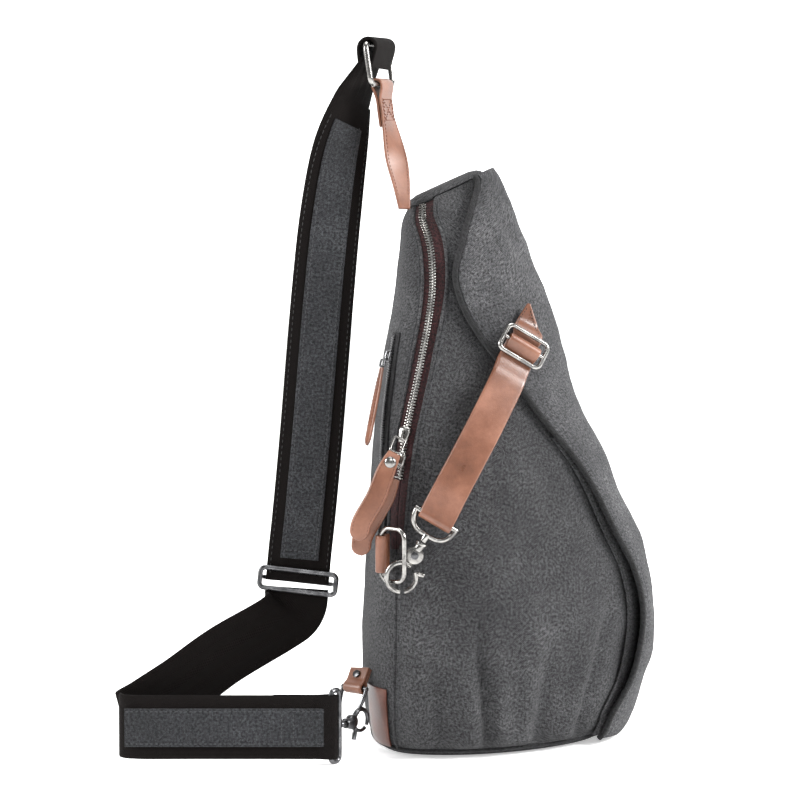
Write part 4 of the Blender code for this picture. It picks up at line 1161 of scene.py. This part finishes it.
def box_stitches(shape, centre, across, along, face, wide, tall, lift):
    """A sewn rectangle with its diagonals."""
    a, b = across * wide / 2, along * tall / 2
    corners = [centre + a + b, centre - a + b, centre - a - b, centre + a - b]
    corners = [p + face * lift for p in corners]
    for one, two in ((0, 1), (1, 2), (2, 3), (3, 0), (0, 2), (1, 3)):
        stitch_line(shape, [corners[one], corners[two]], [face, face], 2.7, 0.66, 0.34)


def build_top():
    face = Vector((RING_ALONG.y, -RING_ALONG.x, 0))
    fold = hairpin(RING_LOW_BAR, TAB_AWAY, face, 3.7, 10, 24, 34, LEATHER / 2 + 0.25)
    rows = [(Vector(centre), Vector(across), width) for centre, across, width in TAB_TIP]
    rows += [(centre, RING_ALONG, TAB_WIDTH) for centre in fold[::3]]
    stations = refined(rows, 5)
    tab = Shape().ribbon(stations, LEATHER, edge=0.9)
    own(tab.make("top_tab_leather", TAN, 50), "bag", "leather", "top_tab")
    seams = Shape()
    box_stitches(seams, RING_LOW_BAR + TAB_AWAY * 18 + face * 0.4, RING_ALONG, TAB_AWAY, face, 19, 15, 2.15)
    for sign in (1, -1):
        line, outs = [], []
        for i in range(3, 30):
            centre, across, width = stations[i]
            run = (stations[i + 1][0] - stations[i - 1][0]).normalized()
            up = across.cross(run).normalized()
            up = -up if up.dot(Vector((0.4, -1, 0))) < 0 else up
            reach = sign * max(width / 2 - 2.0, 0.3)
            line.append(centre + across.normalized() * reach + up * (LEATHER / 2 + 0.12))
            outs.append(up)
        stitch_line(seams, line, outs, 2.7, 0.66, 0.32)
    own(seams.make("top_tab_stitches", TAN_THREAD), "bag", "leather")
    tall = RING_TOP_BAR - RING_LOW_BAR
    middle = (RING_LOW_BAR + RING_TOP_BAR) / 2
    wire = rounded_loop(middle, RING_ALONG, tall.normalized(), 25.5, tall.length / 2, 5.0)
    ring = Shape().tube(wire, 2.05, 18, closed=True)
    own(ring.make("top_ring_wire", NICKEL), "top_ring", "nickel", "top_ring")


def strip_on(stations, lift, low, high):
    """Stations of the canvas strip sewn along a strap's near face."""
    rows = []
    for i in range(low, len(stations) - high):
        centre, across, _width = stations[i]
        along = (stations[min(i + 1, len(stations) - 1)][0] - stations[max(i - 1, 0)][0]).normalized()
        face = along.cross(across).normalized()
        face = -face if face.y > 0 else face
        rows.append((centre + face * lift, across, STRIP, face))
    return rows


def strap_seams(shape, rows, reach, lift, pitch=3.4):
    for sign in (1, -1):
        line = [c + a.normalized() * sign * reach + f * lift for c, a, _w, f in rows]
        stitch_line(shape, line, [f for _c, _a, _w, f in rows], pitch, 0.66, 0.36)


def build_shoulder_strap():
    drawn = smooth_path([(*centre, *across) for centre, across in UPPER_ROUTE], 18)
    stations = [(Vector(row[:3]), Vector(row[3:]), WEBBING) for row in drawn]
    slack = RING_TOP_BAR - Vector((0, 0, 2.6))
    away, face = Vector((-0.1, 0, -1)).normalized(), Vector((-1, 0.32, 0)).normalized()
    fold = hairpin(slack, away, face, TOP_TURN, 16, 14, 15, 4.0)
    band = Shape().ribbon(stations + [(p, RING_ALONG, WEBBING) for p in fold], WEB_THICK, edge=0.9)
    own(band.make("shoulder_band", WEB, 50), "bag", "webbing_fabric", "shoulder_webbing")
    rows = strip_on(stations, WEB_THICK / 2 + STRIP_THICK / 2 + 0.1, 14, 10)
    strip = Shape().ribbon([row[:3] for row in rows], STRIP_THICK, edge=0.5)
    own(strip.make("shoulder_canvas", STRIP_CLOTH, 50), "bag", "canvas_light", "shoulder_strip")
    seams = Shape()
    strap_seams(seams, rows, STRIP / 2 - 2.4, STRIP_THICK / 2 + 0.1)
    for place in (4, 10):
        centre, across, _w, out = rows[place]
        across = across.normalized()
        line = [centre + across * f * (STRIP / 2 - 2.5) + out * (STRIP_THICK / 2 + 0.1) for f in (-1, 1)]
        stitch_line(seams, line, [out, out], 3.0, 0.66, 0.36)
    own(seams.make("shoulder_stitches", GREY_THREAD), "bag", "canvas_light")
    edges = Shape()
    strap_seams(edges, strip_on(stations, 0.0, 4, 6), WEBBING / 2 - 2.6, WEB_THICK / 2 + 0.05, 4.2)
    own(edges.make("shoulder_edge_stitches", DARK_THREAD), "bag", "webbing_fabric")


def build_lower_strap():
    drawn = smooth_path([(*centre, *across) for centre, across in LOWER_ROUTE], 12)
    stations = [(Vector(row[:3]), Vector(row[3:]), WEBBING) for row in drawn]
    flat = Vector((0, 0, -1))
    loop = hairpin(END_BAR, Vector((-1, 0, 0)), Vector((0, -1, 0)), 3.6, 10, 14, 40, WEB_THICK / 2 + 0.2)
    band = Shape().ribbon(stations + [(p, flat, WEBBING) for p in loop], WEB_THICK, edge=0.9)
    own(band.make("lower_band", WEB, 50), "bag", "webbing_fabric", "lower_webbing")
    face_y = END_BAR.y - 0.2 - WEB_THICK - 0.7
    line = [(Vector((-183 + 140 * k / 60, face_y, END_BAR.z)), flat, STRIP) for k in range(61)]
    strip = Shape().ribbon(line, STRIP_THICK, edge=0.5)
    own(strip.make("lower_canvas", STRIP_CLOTH, 50), "bag", "canvas_light", "lower_strip")
    out = Vector((0, -1, 0))
    seams = Shape()
    rows = [(c, a, w, out) for c, a, w in line]
    strap_seams(seams, rows, STRIP / 2 - 2.2, STRIP_THICK / 2 + 0.1)
    for x in (-66, -74):
        half = STRIP / 2 - 2.4
        ends = [Vector((x, face_y - STRIP_THICK / 2 - 0.1, END_BAR.z + side * half)) for side in (-1, 1)]
        stitch_line(seams, ends, [out, out], 3.0, 0.66, 0.36)
    own(seams.make("lower_stitches", GREY_THREAD), "bag", "canvas_light")


def build_tri_glide():
    at, along, across = GLIDE_AT, GLIDE_ALONG, GLIDE_ACROSS
    face = across.cross(along).normalized()
    glide = Shape().tube(rounded_loop(at + face * 3.6, across, along, 27.0, 7.2, 3.5), 1.75, 16, closed=True)
    drawn = []
    for side in (1, -1):
        steps = ((26.8, 3.4), (26.4, 0.6), (25.6, -1.8), (24.2, -3.1), (22.6, -3.4))[::side]
        drawn += [at + across * side * wide + face * lift for wide, lift in steps]
    glide.tube(drawn, 1.55, 16)
    own(glide.make("tri_glide_casting", STEEL), "tri_glide", "gunmetal", "tri_glide")


def build_corner():
    heading = LOWER_HEADING
    side = Vector((-heading.y, heading.x, 0))
    up = Vector((0, 0, 1))
    far_bar = END_BAR + heading * 9.0
    ring_line = rounded_loop((END_BAR + far_bar) / 2, heading, up, 4.5, END_RING_TALL / 2, 3.5)
    ring = Shape().tube(ring_line, 1.85, 16, closed=True)
    ring.rod(far_bar + heading * 1.0, far_bar + heading * 6.0, 2.3, 18)
    own(ring.make("end_ring_casting", STEEL), "end_ring", "gunmetal", "end_ring")

    neck = far_bar + heading * 6.5
    hook = Shape().rod(neck, neck + heading * 2.4, 3.7, 20, 0.5)
    hook.rod(neck + heading * 2.2, neck + heading * 5.2, 3.0, 20)
    pin = neck + heading * 7.0
    hook.rod(pin - side * 2.3, pin + side * 2.3, 5.1, 26, 0.8)
    ring_at = neck + heading * 17.0
    hook.tube(arc(ring_at, -heading, up, 7.6, -16, 215, 36), lambda f: 1.7 - 0.4 * f ** 2, 14)
    own(hook.make("lower_hook_casting", STEEL), "lower_hook", "gunmetal", "lower_hook_body")
    line = arc(ring_at, -heading, -up, 7.6, 42, 128, 18)
    gate = Shape().tube(line, 1.25, 14)
    gate.rod(line[0], line[0] - up * 8.0 - heading * 2.0, 1.7, 16, 0.7)
    own(gate.make("lower_gate_casting", STEEL), "lower_gate", "gunmetal", "lower_hook_gate")

    bar, along = CORNER_BAR, CORNER_ALONG
    drop = ring_at - bar
    down = (drop - along * drop.dot(along)).normalized()
    deep = drop.length + 2.0
    turns = [math.pi * k / 36 for k in range(37)]
    bow = [bar + along * 11.0 * math.cos(a) + down * deep * math.sin(a) for a in turns]
    d_ring = Shape().tube(bow, 1.45, 16)
    d_ring.rod(bar - along * 12.2, bar + along * 12.2, 1.65, 16, 0.8)
    own(d_ring.make("d_ring_casting", STEEL), "d_ring", "gunmetal", "d_ring")
    away = CORNER_AWAY
    face = away.cross(along).normalized()
    path = hairpin(bar, away, face, 3.1, 6, 15, 15, LEATHER / 2 + 0.25)
    loop = Shape().ribbon([(p, along, 17) for p in path], LEATHER)
    own(loop.make("lower_loop_leather", TAN, 50), "bag", "leather", "lower_loop")
    outward = face if face.y < 0 else -face
    stud = bar + away * 9.5 + outward * (LEATHER + 0.55)
    cap = Shape().rod(stud, stud + outward * 1.4, 2.9, 24, 0.6)
    own(cap.make("lower_loop_stud", STEEL), "bag", "gunmetal", "lower_loop_rivet")
    patch = sheet("corner_leather", 0.62, 2.1, lambda v: 0.30, lambda v: 0.56, GAP, GAP + 1.8, 20, 16, BROWN)
    own(patch, "bag", "dark_leather", "corner_patch")


# ---------------------------------------------------------------- floor, light and camera

def pale_sheet(name, corners, glow):
    """A white studio surface that also glows a little, as an overlit one does."""
    mesh = bpy.data.meshes.new(name)
    mesh.from_pydata(corners, [], [(0, 1, 2, 3)])
    paper = bpy.data.materials.new(name + "_paper")
    paper.use_nodes = True
    shader = paper.node_tree.nodes["Principled BSDF"]
    shader.inputs["Base Color"].default_value = (0.92, 0.92, 0.92, 1)
    shader.inputs["Roughness"].default_value = 0.9
    shader.inputs["Emission Color"].default_value = (1, 1, 1, 1)
    shader.inputs["Emission Strength"].default_value = glow
    mesh.materials.append(paper)
    made = bpy.data.objects.new(name, mesh)
    bpy.context.scene.collection.objects.link(made)


def build_stage():
    half, back, high = 7.0, 5.0, 7.0
    pale_sheet("floor", [(-half, -half, 0), (half, -half, 0), (half, back, 0), (-half, back, 0)], 0.45)
    pale_sheet("backdrop", [(-half, back, 0), (half, back, 0), (half, back, high), (-half, back, high)], 1.0)
    world = bpy.data.worlds.new("studio")
    bpy.context.scene.world = world
    world.use_nodes = True
    world.node_tree.nodes["Background"].inputs["Color"].default_value = (1, 1, 1, 1)
    world.node_tree.nodes["Background"].inputs["Strength"].default_value = 0.24
    middle = Vector((0.02, 0.0, 0.24))
    for name, place, size, power in (
        ("left", (-1.9, -0.5, 1.1), 1.0, 58.0),
        ("right", (2.0, -0.5, 1.3), 1.0, 84.0),
        ("front", (0.6, -2.4, 1.8), 0.8, 16.0),
        ("top", (0.1, 0.3, 2.4), 1.4, 44.0),
    ):
        light = bpy.data.lights.new(name, "AREA")
        light.size = size
        light.energy = power
        lamp = bpy.data.objects.new(name, light)
        bpy.context.scene.collection.objects.link(lamp)
        lamp.location = place
        lamp.rotation_euler = (middle - Vector(place)).to_track_quat("-Z", "Y").to_euler()

    lens = bpy.data.cameras.new("camera")
    lens.lens = 136.7
    lens.sensor_width = 36.0
    camera = bpy.data.objects.new("camera", lens)
    bpy.context.scene.collection.objects.link(camera)
    target = Vector((0.0061, 0.0015, 0.245))
    rise = math.radians(5)
    camera.location = target + Vector((0, -math.cos(rise), math.sin(rise))) * 2.2
    camera.rotation_euler = (target - camera.location).to_track_quat("-Z", "Y").to_euler()
    bpy.context.scene.camera = camera
    bpy.context.scene.view_settings.view_transform = "Standard"


def dress_hidden_parts():
    """The sealed inner pieces keep their CAD shapes and get plain cloth, foam and board finishes."""
    n = Nodes("foam_block")
    cells = n.cells(700.0)
    foam_look = n.finish(n.ramp(cells, ((0.0, (0.1, 0.1, 0.1)), (0.3, (0.34, 0.34, 0.34)))), None,
                         n.bump(cells, 0.0002, 0.6))
    n = Nodes("fibre_board")
    fibres = n.noise(260.0, 5.0, (1, 4, 1))
    board_look = n.finish(n.ramp(fibres, ((0.3, (0.09, 0.06, 0.04)), (0.7, (0.2, 0.15, 0.1)))),
                          n.span(fibres, 0.3, 0.7, 0.7, 0.9), n.bump(fibres, 0.0002, 0.5))
    n = Nodes("lining_cloth")
    slubs = n.noise(420.0, 4.0, (1, 1, 0.2))
    lining_look = n.finish(n.ramp(slubs, ((0.3, (0.03, 0.024, 0.018)), (0.7, (0.075, 0.06, 0.046)))),
                           n.span(slubs, 0.3, 0.7, 0.7, 0.9), n.bump(slubs, 0.0002, 0.5))
    for name, look in (("back_foam", foam_look), ("base_board", board_look), ("lining", lining_look)):
        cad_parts[name].data.materials.clear()
        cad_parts[name].data.materials.append(look)


build_cloth()
build_flap()
build_zips()
build_flap_patch()
build_flap_strap()
build_snap_hook()
build_side_loop()
build_top()
build_shoulder_strap()
build_lower_strap()
build_tri_glide()
build_corner()
dress_hidden_parts()
build_stage()
